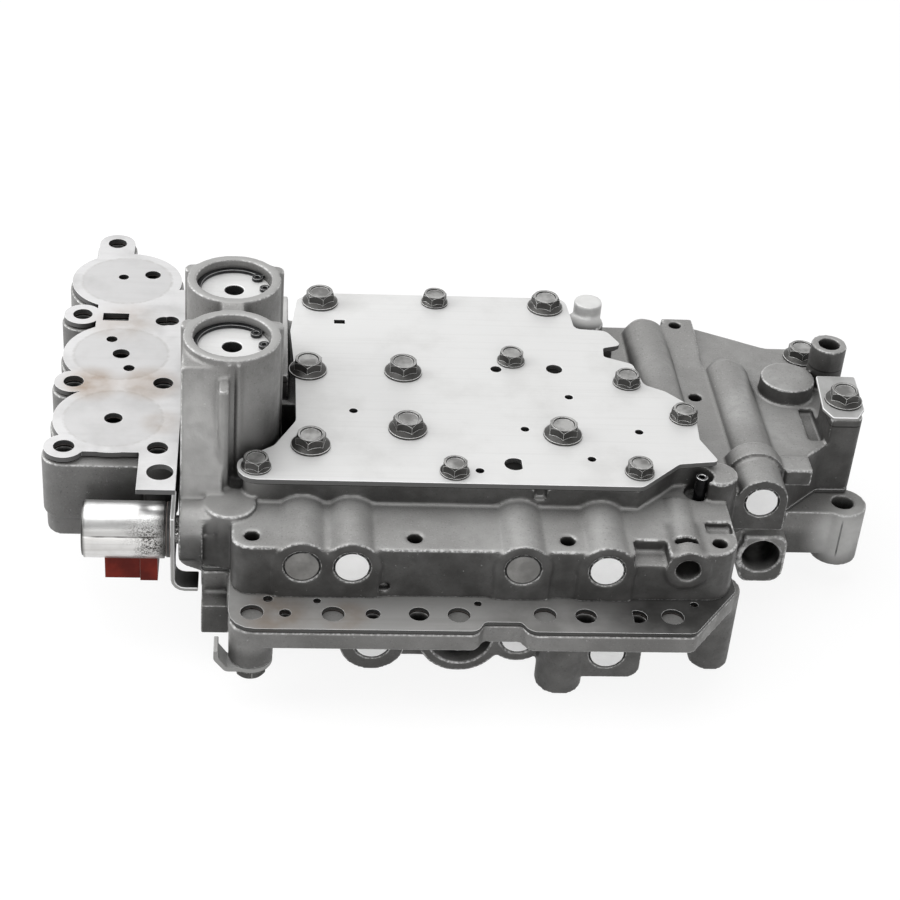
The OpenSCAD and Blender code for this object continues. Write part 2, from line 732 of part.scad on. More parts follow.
module separator_plate() {
    color("#bfc0c0")
    difference() {
        layer(joint_pts, separator_z, separator_t);
        joint_holes(separator_z - 1, upper_z + 1);
    }
}

module separator_gasket() {
    color("#4a4743")
    difference() {
        layer(inset(joint_pts, 0.3), gasket_z, joint_gasket_t);
        joint_holes(gasket_z - 1, separator_z + 1);
    }
}

module side_sheet(z, t, g) {
    difference() {
        translate([0, 0, z])
            linear_extrude(t)
                union() {
                    side_outline(g);
                    children();
                }
        case_holes(z - 1, z + t + 1);
        side_ports(z - 1, z + t + 1);
    }
}

module side_plate() {
    color("#dcdcdd")
        side_sheet(side_plate_z, side_plate_t, 0)
            side_tab();
}

module side_gasket() {
    color("#45413c")
        side_sheet(side_seat_z, side_gasket_t, -0.6);
}

module tower_cover(i) {
    color("#d4d5d6")
    translate([tower_x, tower_ys[i], tower_cover_z])
        difference() {
            cylinder(h = tower_cover_t, r = tower_bore_d / 2 - seat_clear);
            translate([0, 0, -1])
                cylinder(h = tower_cover_t + 2, r = 3.5);
        }
}

// Open snap ring with an eye at each end
module tower_ring(i) {
    ring_r = tower_bore_d / 2 + tower_groove - 0.1;
    color("#56585a")
    translate([tower_x, tower_ys[i], tower_ring_z])
        union() {
            difference() {
                cylinder(h = tower_ring_t, r = ring_r);
                translate([0, 0, -1])
                    cylinder(h = tower_ring_t + 2, r = ring_r - 2.4);
                rotate([0, 0, 4])
                    translate([0, 0, -1])
                        cube([ring_r + 2, 8, tower_ring_t + 2]);
            }
            for (a = [0, 42])
                rotate([0, 0, a])
                    translate([ring_r - 3.2, 0, 0])
                        difference() {
                            cylinder(h = tower_ring_t, r = 2);
                            translate([0, 0, -1])
                                cylinder(h = tower_ring_t + 2, r = 1);
                        }
        }
}

module tower_piston(i) {
    color("#b9bbbd")
    translate([tower_x, tower_ys[i], tower_cover_z - end_gap - tower_piston_h])
        piston(tower_bore_d / 2 - slide_clear, tower_piston_h, tower_dish);
}

module tower_spring(i) {
    top = tower_cover_z - end_gap - tower_dish - piston_wall;
    color("#6f7275")
    translate([tower_x, tower_ys[i], tower_floor_z])
        coil(tower_bore_d / 2 - piston_wall - 2.2, 1.4, top - tower_floor_z - end_gap, 7);
}

module side_piston(i) {
    color("#7d8083")
    translate([side_centres[i][0], side_centres[i][1], side_seat_z - end_gap - side_piston_h])
        piston(side_bore_d / 2 - slide_clear, side_piston_h, side_dish);
}

module side_spring(i) {
    top = side_seat_z - end_gap - side_dish - piston_wall;
    color("#6f7275")
    translate([side_centres[i][0], side_centres[i][1], side_floor_z])
        coil(side_bore_d / 2 - piston_wall - 2.4, 0.9, top - side_floor_z - end_gap, 4);
}

// One spool, spring or plug of a bore whose mouth is at y
module spool_in(x, y, z, d) {
    along_y(x, y + spool_at, z)
        spool(d - 2 * slide_clear, spool_len);
}

module spring_in(x, y, z, d) {
    along_y(x, y + spring_at, z)
        coil(d * spool_stem + spool_wire_r + 0.7, spool_wire_r, spring_len, 7);
}

module plug_in(x, y, z, d) {
    along_y(x, y + plug_recess, z)
        cylinder(h = plug_t, r = d / 2 - seat_clear);
}

module upper_spool(i) {
    color("#a9acaf")
        spool_in(upper_xs[i], pad_y, upper_axis_z, upper_bore_d);
}

module upper_spring(i) {
    color("#6f7275")
        spring_in(upper_xs[i], pad_y, upper_axis_z, upper_bore_d);
}

module dull_plugs() {
    color("#77797a")
        for (i = [0, 2])
            plug_in(upper_xs[i], pad_y, upper_axis_z, upper_bore_d);
}

module bright_plugs() {
    color("#eeeeee") {
        for (i = [1, 3])
            plug_in(upper_xs[i], pad_y, upper_axis_z, upper_bore_d);
        plug_in(right_valve[0], right_valve[1], right_axis_z, upper_bore_d);
    }
}

module right_spool() {
    color("#a9acaf")
        spool_in(right_valve[0], right_valve[1], right_axis_z, upper_bore_d);
}

module right_spring() {
    color("#6f7275")
        spring_in(right_valve[0], right_valve[1], right_axis_z, upper_bore_d);
}

module lower_spool(i) {
    color("#a9acaf")
        spool_in(lower_valves[i][0], lower_valves[i][1], lower_axis_z, lower_bore_d);
}

module lower_spring(i) {
    color("#6f7275")
        spring_in(lower_valves[i][0], lower_valves[i][1], lower_axis_z, lower_bore_d);
}

module lower_plugs() {
    color("#eeeeee")
        for (v = lower_valves)
            plug_in(v[0], v[1], lower_axis_z, lower_bore_d);
}

module regulator_spool() {
    color("#8f9295")
        spool_in(regulator[0], regulator[1] + regulator_recess, lower_axis_z, regulator_bore_d);
}

module regulator_spring() {
    color("#6f7275")
        spring_in(regulator[0], regulator[1] + regulator_recess, lower_axis_z, regulator_bore_d);
}

// Sleeve that stops the pressure regulator's spool, open in the middle
module regulator_sleeve() {
    color("#6b6d6f")
    along_y(regulator[0], regulator[1] + regulator_recess + plug_recess, lower_axis_z)
        difference() {
            cylinder(h = plug_t, r = regulator_bore_d / 2 - seat_clear);
            translate([0, 0, -1])
                cylinder(h = plug_t + 2, r = regulator_bore_d * 0.3);
        }
}

module manual_valve() {
    land = manual_len / 6;
    color("#a3a6a9")
    along_y(manual_valve_at[0], manual_valve_at[1] + manual_recess, manual_axis_z)
        union() {
            cylinder(h = manual_len, r = manual_bore_d * 0.28);
            for (i = [0, 1.6, 3.4, 5])
                translate([0, 0, i * land])
                    cylinder(h = land, r = manual_bore_d / 2 - slide_clear);
        }
}

// Can with a rolled outer sheet whose edge shows along the front
module solenoid_can() {
    color("#dfe0e1")
    along_x(can_at[0] - can_len, can_at[1], can_at[2])
        union() {
            cylinder(h = can_len, r = can_d / 2 - 0.7);
            difference() {
                translate([0, 0, 0.6])
                    cylinder(h = can_len - 1.2, r = can_d / 2);
                rotate([0, 0, 70])
                    translate([0.5, -can_d, -1])
                        cube([can_d, 2 * can_d, can_len + 2]);
            }
            cylinder(h = can_len + can_nose_len, r = can_nose_r);
        }
}

module solenoid_bobbin() {
    color("#232323")
    along_x(can_at[0], can_at[1], can_at[2])
        difference() {
            cylinder(h = bobbin_t, r = can_d / 2 - 0.4);
            translate([0, 0, -1])
                cylinder(h = bobbin_t + 2, r = can_nose_r + seat_clear);
        }
}

module solenoid_connector() {
    top = can_at[2] - can_d / 2 + 2.5;
    color("#7a2018")
    difference() {
        union() {
            block([-120.6, can_at[1] - 6, top - 9.4], [-108, can_at[1] + 5, top]);
            block([-108.4, can_at[1] - 6.6, top - 10], [-102.3, can_at[1] + 5.6, top]);
        }
        along_x(can_at[0] - can_len - 1, can_at[1], can_at[2])
            cylinder(h = can_len + 2, r = can_d / 2 + seat_clear);
        along_x(-122, can_at[1] - 0.5, top - 6.2)
            cylinder(h = 9, r = 2.4);
    }
}

module solenoid_bracket() {
    x0 = can_at[0] + bobbin_t;
    x1 = x0 + solenoid_sheet_t;
    low = can_at[2] - 20.4;
    front = can_at[1] - 9;
    color("#b4b6b8")
    difference() {
        union() {
            block([x0, front, can_at[2] - 12], [x1, can_at[1] + 8, can_at[2] + can_d / 2 + 0.8]);
            translate([0, front + 9.6, 0])
                rotate([90, 0, 0])
                    linear_extrude(9.6)
                        polygon(rounded([
                            [x0, low, 5], [x0 + 9.6, low, 0.4], [x0 + 9.6, low + solenoid_sheet_t, 0.4],
                            [x1, low + solenoid_sheet_t, 3.5], [x1, can_at[2] - 11, 0.4],
                            [x0, can_at[2] - 11, 0.4]
                        ]));
        }
        along_x(x0 - 1, can_at[1], can_at[2])
            cylinder(h = solenoid_sheet_t + 2, r = can_nose_r + seat_clear);
    }
}

module flange_bolts() {
    color("#6a6c6d") {
        for (i = [0 : len(cover_bolts_at) - 1])
            translate([cover_bolts_at[i][0], cover_bolts_at[i][1], cover_top])
                large_bolt(thread_len + cover_t + cover_gasket_t, bolt_turns[i]);
        translate([back_bolt[0], back_bolt[1], shelf_z])
            large_bolt(thread_len, bracket_turn);
        translate([right_bolt[0], right_bolt[1], column_top_z + right_sheet_t])
            large_bolt(thread_len + right_sheet_t, bracket_turn);
        translate([left_bolt[0], left_bolt[1], left_boss_z - left_sheet_t])
            rotate([180, 0, 0])
                large_bolt(thread_len + left_sheet_t, bracket_turn);
    }
}

module cover_screws() {
    color("#5f6162")
        for (i = [0 : len(cover_screws_at) - 1])
            translate([cover_screws_at[i][0], cover_screws_at[i][1], cover_top])
                small_bolt(thread_len + cover_t + cover_gasket_t, screw_turns[i]);
}

module under_bolts() {
    color("#6a6c6d") {
        for (p = under_bolts_at)
            translate([p[0], p[1], slab_z])
                rotate([180, 0, 0])
                    large_bolt(upper_z - slab_z + thread_len, bracket_turn);
        for (p = wing_bolts_at)
            translate([p[0], p[1], flange_z])
                rotate([180, 0, 0])
                    large_bolt(upper_z - flange_z + thread_len, bracket_turn);
    }
}

// Bent sheet under the left front boss
module left_bracket() {
    z = left_boss_z - left_sheet_t;
    bend_x = left_bolt[0] - 8;
    wing_x = left_bolt[0] - 12.6;
    wing_top = z + 9;
    color("#9a9c9d")
    difference() {
        union() {
            post(left_bolt, 7.6, z, z + left_sheet_t);
            translate([0, left_bolt[1] + 1, 0])
                rotate([90, 0, 0])
                    linear_extrude(8)
                        polygon(rounded([
                            [left_bolt[0], z, 0.4], [left_bolt[0], z + left_sheet_t, 0.4],
                            [bend_x, z + left_sheet_t, 1], [wing_x + left_sheet_t, z + 6, 1],
                            [wing_x + left_sheet_t, wing_top, 0.4], [wing_x, wing_top, 0.4],
                            [wing_x, z + 5.2, 2.4], [bend_x - 0.6, z, 2.4]
                        ]));
        }
        post(left_bolt, bolt_d / 2 + hole_clear, z - 1, left_boss_z + 1);
    }
}

// Sheet on the right column
module right_bracket() {
    color("#cfd0d1")
    difference() {
        layer(right_sheet_pts, column_top_z, right_sheet_t);
        post(right_bolt, bolt_d / 2 + hole_clear, column_top_z - 1, column_top_z + right_sheet_t + 1);
    }
}

module spring_pin() {
    color("#1d1e1f")
    difference() {
        post(pin_at, pin_r, pin_foot_z, seat_z - 0.3);
        post(pin_at, pin_r - 1, pin_foot_z - 1, seat_z);
    }
}

module check_balls() {
    color("#b0b2b4")
        for (p = balls_at)
            translate([p[0], p[1], upper_z + ball_d / 2])
                sphere(d = ball_d);
}

module placed() {
    translate([-datum[0], -datum[1], 0])
        children();
}

placed() upper_body();
placed() lower_body();
placed() accumulator_body();
placed() cover_plate();
placed() cover_gasket();
placed() separator_plate();
placed() separator_gasket();
placed() side_plate();
placed() side_gasket();
placed() tower_cover(0);  // tower_cover_front
placed() tower_cover(1);  // tower_cover_rear
placed() tower_ring(0);  // tower_ring_front
placed() tower_ring(1);  // tower_ring_rear
placed() tower_piston(0);  // tower_piston_front
placed() tower_piston(1);  // tower_piston_rear
placed() tower_spring(0);  // tower_spring_front
placed() tower_spring(1);  // tower_spring_rear
placed() side_piston(0);  // side_piston_front
placed() side_piston(1);  // side_piston_middle
placed() side_piston(2);  // side_piston_rear
placed() side_spring(0);  // side_spring_front
placed() side_spring(1);  // side_spring_middle
placed() side_spring(2);  // side_spring_rear
placed() upper_spool(0);  // upper_spool_1
placed() upper_spool(1);  // upper_spool_2
placed() upper_spool(2);  // upper_spool_3
placed() upper_spool(3);  // upper_spool_4
placed() upper_spring(0);  // upper_spring_1
placed() upper_spring(1);  // upper_spring_2
placed() upper_spring(2);  // upper_spring_3
placed() upper_spring(3);  // upper_spring_4
placed() dull_plugs();
placed() bright_plugs();
placed() right_spool();
placed() right_spring();
placed() lower_spool(0);  // lower_spool_1
placed() lower_spool(1);  // lower_spool_2
placed() lower_spool(2);  // lower_spool_3
placed() lower_spring(0);  // lower_spring_1
placed() lower_spring(1);  // lower_spring_2
placed() lower_spring(2);  // lower_spring_3
placed() lower_plugs();
placed() regulator_spool();
placed() regulator_spring();
placed() regulator_sleeve();
placed() manual_valve();
placed() solenoid_can();
placed() solenoid_bobbin();
placed() solenoid_connector();
placed() solenoid_bracket();
placed() flange_bolts();
placed() cover_screws();
placed() under_bolts();
placed() left_bracket();
placed() right_bracket();
placed() spring_pin();
placed() check_balls();
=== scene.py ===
"""Dresses the valve body: cast, plated, turned and moulded finishes, light, floor and camera."""

import functools
import json
import logging
import math
from dataclasses import dataclass, field
from enum import Enum
from typing import Protocol, Sequence, Union

import bmesh
import bpy
import numpy as np
from mathutils import Matrix, Vector

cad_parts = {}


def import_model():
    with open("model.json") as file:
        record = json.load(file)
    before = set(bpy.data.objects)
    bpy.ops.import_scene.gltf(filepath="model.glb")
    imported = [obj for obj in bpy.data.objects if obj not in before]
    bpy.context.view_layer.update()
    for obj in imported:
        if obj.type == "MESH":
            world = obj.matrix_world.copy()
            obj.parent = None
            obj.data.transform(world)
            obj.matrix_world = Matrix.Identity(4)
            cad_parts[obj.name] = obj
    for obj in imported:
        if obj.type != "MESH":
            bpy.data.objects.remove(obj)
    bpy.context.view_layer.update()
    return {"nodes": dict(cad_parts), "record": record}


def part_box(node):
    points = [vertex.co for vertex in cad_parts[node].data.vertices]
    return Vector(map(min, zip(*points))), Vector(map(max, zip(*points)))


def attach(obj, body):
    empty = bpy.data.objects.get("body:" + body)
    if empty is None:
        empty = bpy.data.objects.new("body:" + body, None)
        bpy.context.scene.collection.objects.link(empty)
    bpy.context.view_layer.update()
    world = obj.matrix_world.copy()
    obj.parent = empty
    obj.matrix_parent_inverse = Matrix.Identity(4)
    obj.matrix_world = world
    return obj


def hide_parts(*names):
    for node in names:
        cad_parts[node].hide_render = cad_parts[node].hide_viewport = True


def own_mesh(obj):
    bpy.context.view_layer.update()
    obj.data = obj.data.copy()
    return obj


MM = 0.001
HOUSING = "housing"
EDGE, CORNER = "edge", "corner"
LOG = logging.getLogger("valve_body")

Colour = tuple[float, float, float]
Point = tuple[float, float, float]
Span = tuple[float, float]
Socket = bpy.types.NodeSocket
Value = Union[float, Socket]
Paint = Union[Colour, Socket]
Input = Union[Value, Paint, None]

ORIGIN: Point = (0.0, 0.0, 0.0)
WHITE: Colour = (1.0, 1.0, 1.0)


class Axis(Enum):
    """Axis of the shared frame."""

    X = 0
    Y = 1
    Z = 2


class Graph:
    """Node tree of a material or a world, with short calls for the nodes that it uses."""

    def __init__(self, tree: bpy.types.NodeTree) -> None:
        """Starts on a tree.

        Args:
            tree: Tree of a material or a world.
        """
        self.tree = tree
        self.place = self.node("TexCoord", "Object")

    def feed(self, socket: Socket, value: Input) -> None:
        """Links a socket into an input, or sets a plain value on it.

        Args:
            socket: Input that takes the value.
            value: Socket, number or colour, or none to leave the input as it is.
        """
        if isinstance(value, bpy.types.NodeSocket):
            self.tree.links.new(value, socket)
        elif isinstance(value, tuple) and len(socket.default_value) == 4:
            socket.default_value = (*value, 1.0)
        elif value is not None:
            socket.default_value = value

    def node(
        self, kind: str, output: Union[str, int], inputs: Union[dict, None] = None, **settings: object
    ) -> Socket:
        """Adds a node, feeds it and hands over one of its outputs.

        Args:
            kind: Type of the node without its prefix.
            output: Name or number of the output.
            inputs: Values by name or number of the input.
            **settings: Properties of the node.

        Returns:
            The output.
        """
        node = self.tree.nodes.new(f"ShaderNode{kind}")
        for name, value in settings.items():
            setattr(node, name, value)
        for key, value in (inputs or {}).items():
            self.feed(node.inputs[key], value)
        return node.outputs[output]

    def noise(self, scale: float, detail: float = 3.0, rough: float = 0.55, place: Socket = None) -> Socket:
        """Fractal noise round one half, with features per metre, at the object's or other coordinates."""
        inputs = {"Vector": place or self.place, "Scale": scale, "Detail": detail, "Roughness": rough}
        return self.node("TexNoise", "Fac", inputs)

    def hollow(self, reach_mm: float) -> Socket:
        """How open the surface lies, from 0 deep in a hole to 1 on a free face, judged within that reach."""
        return self.node("AmbientOcclusion", "AO", {"Distance": reach_mm * MM}, only_local=True, samples=6)

    def moved(self, centre: Point, scale: Point = (1.0, 1.0, 1.0)) -> Socket:
        """Coordinates that start at a point in millimetres and are stretched by a factor along each axis."""
        shift = self.node("VectorMath", 0, {0: self.place, 1: tuple(c * MM for c in centre)}, operation="SUBTRACT")
        return self.node("VectorMath", 0, {0: shift, 1: scale}, operation="MULTIPLY")

    def distance(self, centre: Point) -> Socket:
        """Distance in metres from a point in millimetres."""
        return self.node("VectorMath", "Value", {0: self.moved(centre)}, operation="LENGTH")

    def along(self, vector: Socket, axis: Axis) -> Socket:
        """One part of a vector."""
        return self.node("SeparateXYZ", axis.value, {0: vector})

    def off(self, axis: Axis, level_mm: float) -> Socket:
        """Distance in metres from a plane across an axis."""
        return self.calc("ABSOLUTE", self.calc("SUBTRACT", self.along(self.place, axis), level_mm * MM))

    def normal(self) -> Socket:
        """The surface's own normal, without bump."""
        return self.node("NewGeometry", "True Normal")

    def level(self) -> Socket:
        """How level the surface lies, facing up or down."""
        return self.calc("ABSOLUTE", self.along(self.normal(), Axis.Z))

    def attribute(self, name: str) -> Socket:
        """A number kept on the mesh."""
        return self.node("Attribute", "Fac", attribute_name=name)

    def ray(self, kind: str) -> Socket:
        """One for rays of that kind."""
        return self.node("LightPath", f"Is {kind} Ray")

    def calc(self, kind: str, first: Value, second: Value = 0.0) -> Socket:
        """Result of a Math node."""
        return self.node("Math", 0, {0: first, 1: second}, operation=kind)

    def times(self, *values: Value) -> Socket:
        """Product of the values."""
        return functools.reduce(lambda a, b: self.calc("MULTIPLY", a, b), values)

    def band(self, value: Socket, low: float, high: float, to: Span = (0.0, 1.0)) -> Socket:
        """Smooth, clamped step of a value from one range to another, ends in the same order."""
        inputs = {"Value": value, "From Min": low, "From Max": high, "To Min": to[0], "To Max": to[1]}
        return self.node("MapRange", "Result", inputs, interpolation_type="SMOOTHSTEP")

    def mix(self, share: Value, first: Paint, second: Paint) -> Socket:
        """Blend of two colours with a share of the second one."""
        return self.node("Mix", 2, {0: share, 6: first, 7: second}, data_type="RGBA")

    def pick(self, kind: str, others: Value, these: Value) -> Socket:
        """Number that differs for one kind of ray."""
        return self.node("Mix", 0, {0: self.ray(kind), 2: others, 3: these}, data_type="FLOAT")

    def bump(self, height: Socket, depth_mm: float, under: Socket = None) -> Socket:
        """Normal that stands for a relief, over that of a coarser relief where there is one."""
        inputs = {"Strength": 1.0, "Distance": depth_mm * MM, "Height": height, "Normal": under}
        return self.node("Bump", "Normal", inputs)


class Surface(Graph):
    """Graph of a material with a Principled shader."""

    def __init__(self, name: str) -> None:
        """Starts a material that holds only the shader.

        Args:
            name: Name of the material.
        """
        self.material = bpy.data.materials.new(name)
        self.material.use_nodes = True
        super().__init__(self.material.node_tree)

    def finish(
        self, colour: Paint, roughness: Value, metallic: Value, normal: Socket = None, **others: Input
    ) -> bpy.types.Material:
        """Feeds the shader and hands the material over.

        Args:
            colour: Base colour.
            roughness: Roughness.
            metallic: Share of metal.
            normal: Normal with the relief.
            **others: Further inputs of the shader, with spaces written as underscores.

        Returns:
            The finished material.
        """
        inputs = {"Base_Color": colour, "Roughness": roughness, "Metallic": metallic, "Normal": normal, **others}
        for name, value in inputs.items():
            self.feed(self.tree.nodes["Principled BSDF"].inputs[name.replace("_", " ")], value)
        return self.material


@dataclass(frozen=True)
class StainOrPaintedLight:
    """A soft patch of colour, used for discolouring and for painted light and shade.

    Attributes:
        centre: Middle of the patch in millimetres.
        radius: Reach in millimetres.
        strength: Share of the stain's colour at its middle.
        tint: Colour of the stain.
        broken: Share of the stain that the noise takes away.
    """

    centre: Point
    radius: float
    strength: float
    tint: Colour
    broken: float = 0.75

    def share(self, g: Graph, cloud: Socket) -> Socket:
        """Where the stain is.

        Args:
            g: Material's graph.
            cloud: Noise that breaks up the stain.

        Returns:
            The share of the stain's colour.
        """
        reach = self.radius * MM
        patch = g.band(g.distance(self.centre), reach, reach * 0.25, (0.0, self.strength))
        return g.times(patch, g.band(cloud, 0.3, 0.7, (1.0 - self.broken, 1.0)))


@dataclass(frozen=True)
class DarkZone:
    """A dark zone, such as a mould's parting line or the edge of a wrapped sheet, or painted shade inside a bore.

    Attributes:
        centre: Its middle in millimetres.
        half: Half of its size along each axis in millimetres.
        strength: Share of the zone's colour.
        tint: Colour of the zone.
    """

    centre: Point
    half: Point
    strength: float = 0.85
    tint: Colour = (0.02, 0.02, 0.019)

    def share(self, g: Graph, cloud: Socket) -> Socket:
        """Where the zone is.

        Args:
            g: Material's graph.
            cloud: Noise that thins the zone in places.

        Returns:
            The share of the zone's colour.
        """
        place = g.moved(self.centre, tuple(1.0 / (h * MM) for h in self.half))
        parts = [g.band(g.calc("ABSOLUTE", g.along(place, axis)), 1.0, 0.6) for axis in Axis]
        return g.times(g.band(cloud, 0.3, 0.6, (self.strength * 0.6, self.strength)), *parts)


@dataclass(frozen=True)
class Machined:
    """A round face on a casting that is cut bright and looks up.

    Attributes:
        centre: Middle of the turned rings in millimetres.
        radius: Radius of the face in millimetres.
    """

    centre: Point
    radius: float

    def share(self, g: Graph) -> Socket:
        """Where the face is.

        Args:
            g: Material's graph.

        Returns:
            One on the face, with faint turned rings, and zero elsewhere.
        """
        on_level = g.band(g.off(Axis.Z, self.centre[2]), 0.5 * MM, 0.25 * MM)
        reach = g.distance(self.centre)
        inside = g.band(reach, (self.radius + 0.4) * MM, self.radius * MM)
        rings = g.band(g.calc("SINE", g.times(reach, 9000.0)), -1.0, 1.0, (0.7, 1.0))
        return g.times(on_level, g.band(g.level(), 0.9, 0.98), inside, rings)


@dataclass(frozen=True)
class CastFinish:
    """Die-cast aluminium with a fine grain and bright worn edges, with painted shade on upright faces and in
    holes, and painted highlights in the fillets.

    Attributes:
        name: Name of the material.
        skin: Main colour.
        shade: Colour of the darker clouds.
        worn: Colour of the worn edges.
        grime: Colour of the pores, and of the painted shade in holes and on the seat under the cover.
        cut: Colour of the machined faces.
        oil: Colour of the painted shade on upright faces.
        film: Share of the painted shade on the lower and on the upper part.
        film_ends: Heights in millimetres between which the painted shade thins out.
        fillet: Colour of the painted highlight lines in the fillets.
        joint: Height in millimetres of the seat under the cover, painted near black as the shade seen through the
            cover's holes, or none.
        faces: Machined faces.
        stains: Discoloured patches and seams, and patches of painted light and shade.
    """

    name: str
    skin: Colour = (0.36, 0.358, 0.352)
    shade: Colour = (0.265, 0.262, 0.256)
    worn: Colour = (0.64, 0.64, 0.635)
    grime: Colour = (0.022, 0.021, 0.020)
    cut: Colour = (0.36, 0.358, 0.352)
    oil: Colour = (0.025, 0.024, 0.023)
    film: Span = (0.91, 0.28)
    film_ends: Span = (70.0, 92.0)
    fillet: Colour = (0.46, 0.458, 0.452)
    joint: Union[float, None] = None
    faces: tuple[Machined, ...] = ()
    stains: tuple[Union[StainOrPaintedLight, DarkZone], ...] = ()

    def material(self) -> bpy.types.Material:
        """Builds the material.

        Returns:
            The material, which reads the mesh's edge and corner attributes.
        """
        g = Surface(self.name)
        cloud, mottle, grain = g.noise(28.0, 4.0), g.noise(240.0, 4.0, 0.6), g.noise(1500.0, 2.0, 0.6)
        patch = g.noise(90.0, 3.0)
        colour = g.mix(g.band(cloud, 0.36, 0.66), self.shade, self.skin)
        colour = g.mix(g.band(mottle, 0.35, 0.75, (0.0, 0.45)), colour, self.shade)
        colour = g.mix(g.band(grain, 0.60, 0.72, (0.0, 0.22)), colour, self.worn)
        colour = g.mix(g.band(grain, 0.40, 0.28, (0.0, 0.35)), colour, self.grime)
        for face in self.faces:
            colour = g.mix(face.share(g), colour, self.cut)
        # Painted shade: faces that don't look up are darkened, less so higher up.
        colour = g.mix(self._film(g, patch), colour, self.oil)
        # Painted shade: the seat under the cover is painted near black, so that the cover's holes look dark.
        if self.joint is not None:
            near = g.band(g.off(Axis.Z, self.joint), 0.4 * MM, 0.25 * MM, (0.0, 0.97))
            colour = g.mix(near, colour, self.grime)
        for spot in self.stains:
            colour = g.mix(spot.share(g, patch), colour, spot.tint)
        # Painted highlight: light lines along the concave fillets.
        colour = g.mix(g.band(g.attribute(CORNER), 0.4, 0.95, (0.0, 0.4)), colour, self.fillet)
        # Painted shade: holes and deep recesses are darkened by the occlusion.
        colour = g.mix(g.band(g.hollow(10.0), 0.66, 0.28, (0.0, 0.98)), colour, self.grime)
        colour = g.mix(g.band(g.noise(420.0, 5.0, 0.75), 0.66, 0.72, (0.0, 0.4)), colour, self.worn)
        sparkle = g.band(g.noise(800.0, 3.0, 0.6), 0.42, 0.62, (0.15, 0.85))
        colour = g.mix(g.times(g.band(g.attribute(EDGE), 0.6, 1.0), sparkle), colour, self.worn)
        rough = g.band(mottle, 0.3, 0.7, (0.36, 0.54))
        relief = g.bump(grain, 0.035, g.bump(mottle, 0.10, g.bump(cloud, 0.25)))
        return g.finish(colour, rough, 0.3, relief, Specular_IOR_Level=0.25)

    def _film(self, g: Graph, patch: Socket) -> Socket:
        """Share of the painted shade on upright faces.

        Args:
            g: Material's graph.
            patch: Noise that makes the painted shade uneven.

        Returns:
            The share, which thins out with height.
        """
        upright = g.band(g.along(g.normal(), Axis.Z), 0.80, 0.30)
        low, high = (h * MM for h in self.film_ends)
        height = g.band(g.along(g.place, Axis.Z), low, high, self.film)
        return g.times(upright, height, g.band(patch, 0.3, 0.7, (0.86, 1.0)))


@dataclass(frozen=True)
class SheetFinish:
    """Pale rolled sheet with faint rolling lines, smears and discoloured patches, with painted shade on the faces
    that aren't level and in holes and a painted highlight on the broken edges that face up.

    Attributes:
        name: Name of the material.
        bright: Main colour.
        dull: Colour of the smears.
        lines: Stretch of the rolling lines along each axis.
        rings: Middles and radii of the round marks, in millimetres.
        stains: Discoloured patches, and patches of painted light and shade.
        roughness: Roughness of the clean sheet.
        side: Colour of the painted shade on the faces that aren't level, such as the cut sides.
        rim: Colour of the line round a mark.
        edge: Colour of the painted highlight on the broken edges that face up.
        hole: Colour of the painted shade in the holes.
    """

    name: str
    bright: Colour = (0.72, 0.72, 0.715)
    dull: Colour = (0.61, 0.607, 0.598)
    lines: Point = (14.0, 700.0, 14.0)
    rings: tuple[tuple[Point, float], ...] = ()
    stains: tuple[StainOrPaintedLight, ...] = ()
    roughness: float = 0.40
    side: Colour = (0.022, 0.0217, 0.021)
    rim: Colour = (0.42, 0.41, 0.395)
    edge: Colour = (0.92, 0.92, 0.92)
    hole: Colour = (0.008, 0.008, 0.008)

    def material(self) -> bpy.types.Material:
        """Builds the material.

        Returns:
            The material, which reads the mesh's edge attribute.
        """
        g = Surface(self.name)
        cloud, mottle = g.noise(34.0, 5.0, 0.6), g.noise(420.0, 4.0, 0.6)
        rolled = g.noise(1.0, 3.0, 0.5, g.moved(ORIGIN, self.lines))
        colour = g.mix(g.band(cloud, 0.45, 0.75, (0.0, 0.8)), self.bright, self.dull)
        colour = g.mix(g.band(rolled, 0.45, 0.8, (0.0, 0.3)), colour, self.dull)
        for centre, radius in self.rings:
            reach = g.distance(centre)
            inside = g.band(reach, (radius + 0.6) * MM, (radius - 0.6) * MM, (0.0, 0.45))
            colour = g.mix(inside, colour, self.dull)
            off = g.calc("ABSOLUTE", g.calc("SUBTRACT", reach, radius * MM))
            line = g.times(g.band(off, 0.9 * MM, 0.2 * MM, (0.0, 0.4)), g.band(mottle, 0.35, 0.6))
            colour = g.mix(line, colour, self.rim)
        patch = g.noise(90.0, 4.0)
        for spot in self.stains:
            colour = g.mix(spot.share(g, patch), colour, spot.tint)
        # Painted shade: faces that aren't level take the side colour.
        colour = g.mix(g.band(g.level(), 0.6, 0.3, (0.0, 0.85)), colour, self.side)
        # Painted highlight: broken edges that face up take the edge colour.
        upper = g.band(g.along(g.normal(), Axis.Z), -0.3, 0.2, (0.0, 0.9))
        colour = g.mix(g.times(g.attribute(EDGE), upper), colour, self.edge)
        # Painted shade: holes are darkened by the occlusion.
        colour = g.mix(g.band(g.hollow(8.0), 0.86, 0.55, (0.0, 0.97)), colour, self.hole)
        rough = g.band(cloud, 0.3, 0.75, (self.roughness, self.roughness + 0.16))
        relief = g.bump(rolled, 0.012, g.bump(cloud, 0.06))
        return g.finish(colour, rough, 0.2, relief, Specular_IOR_Level=0.3)


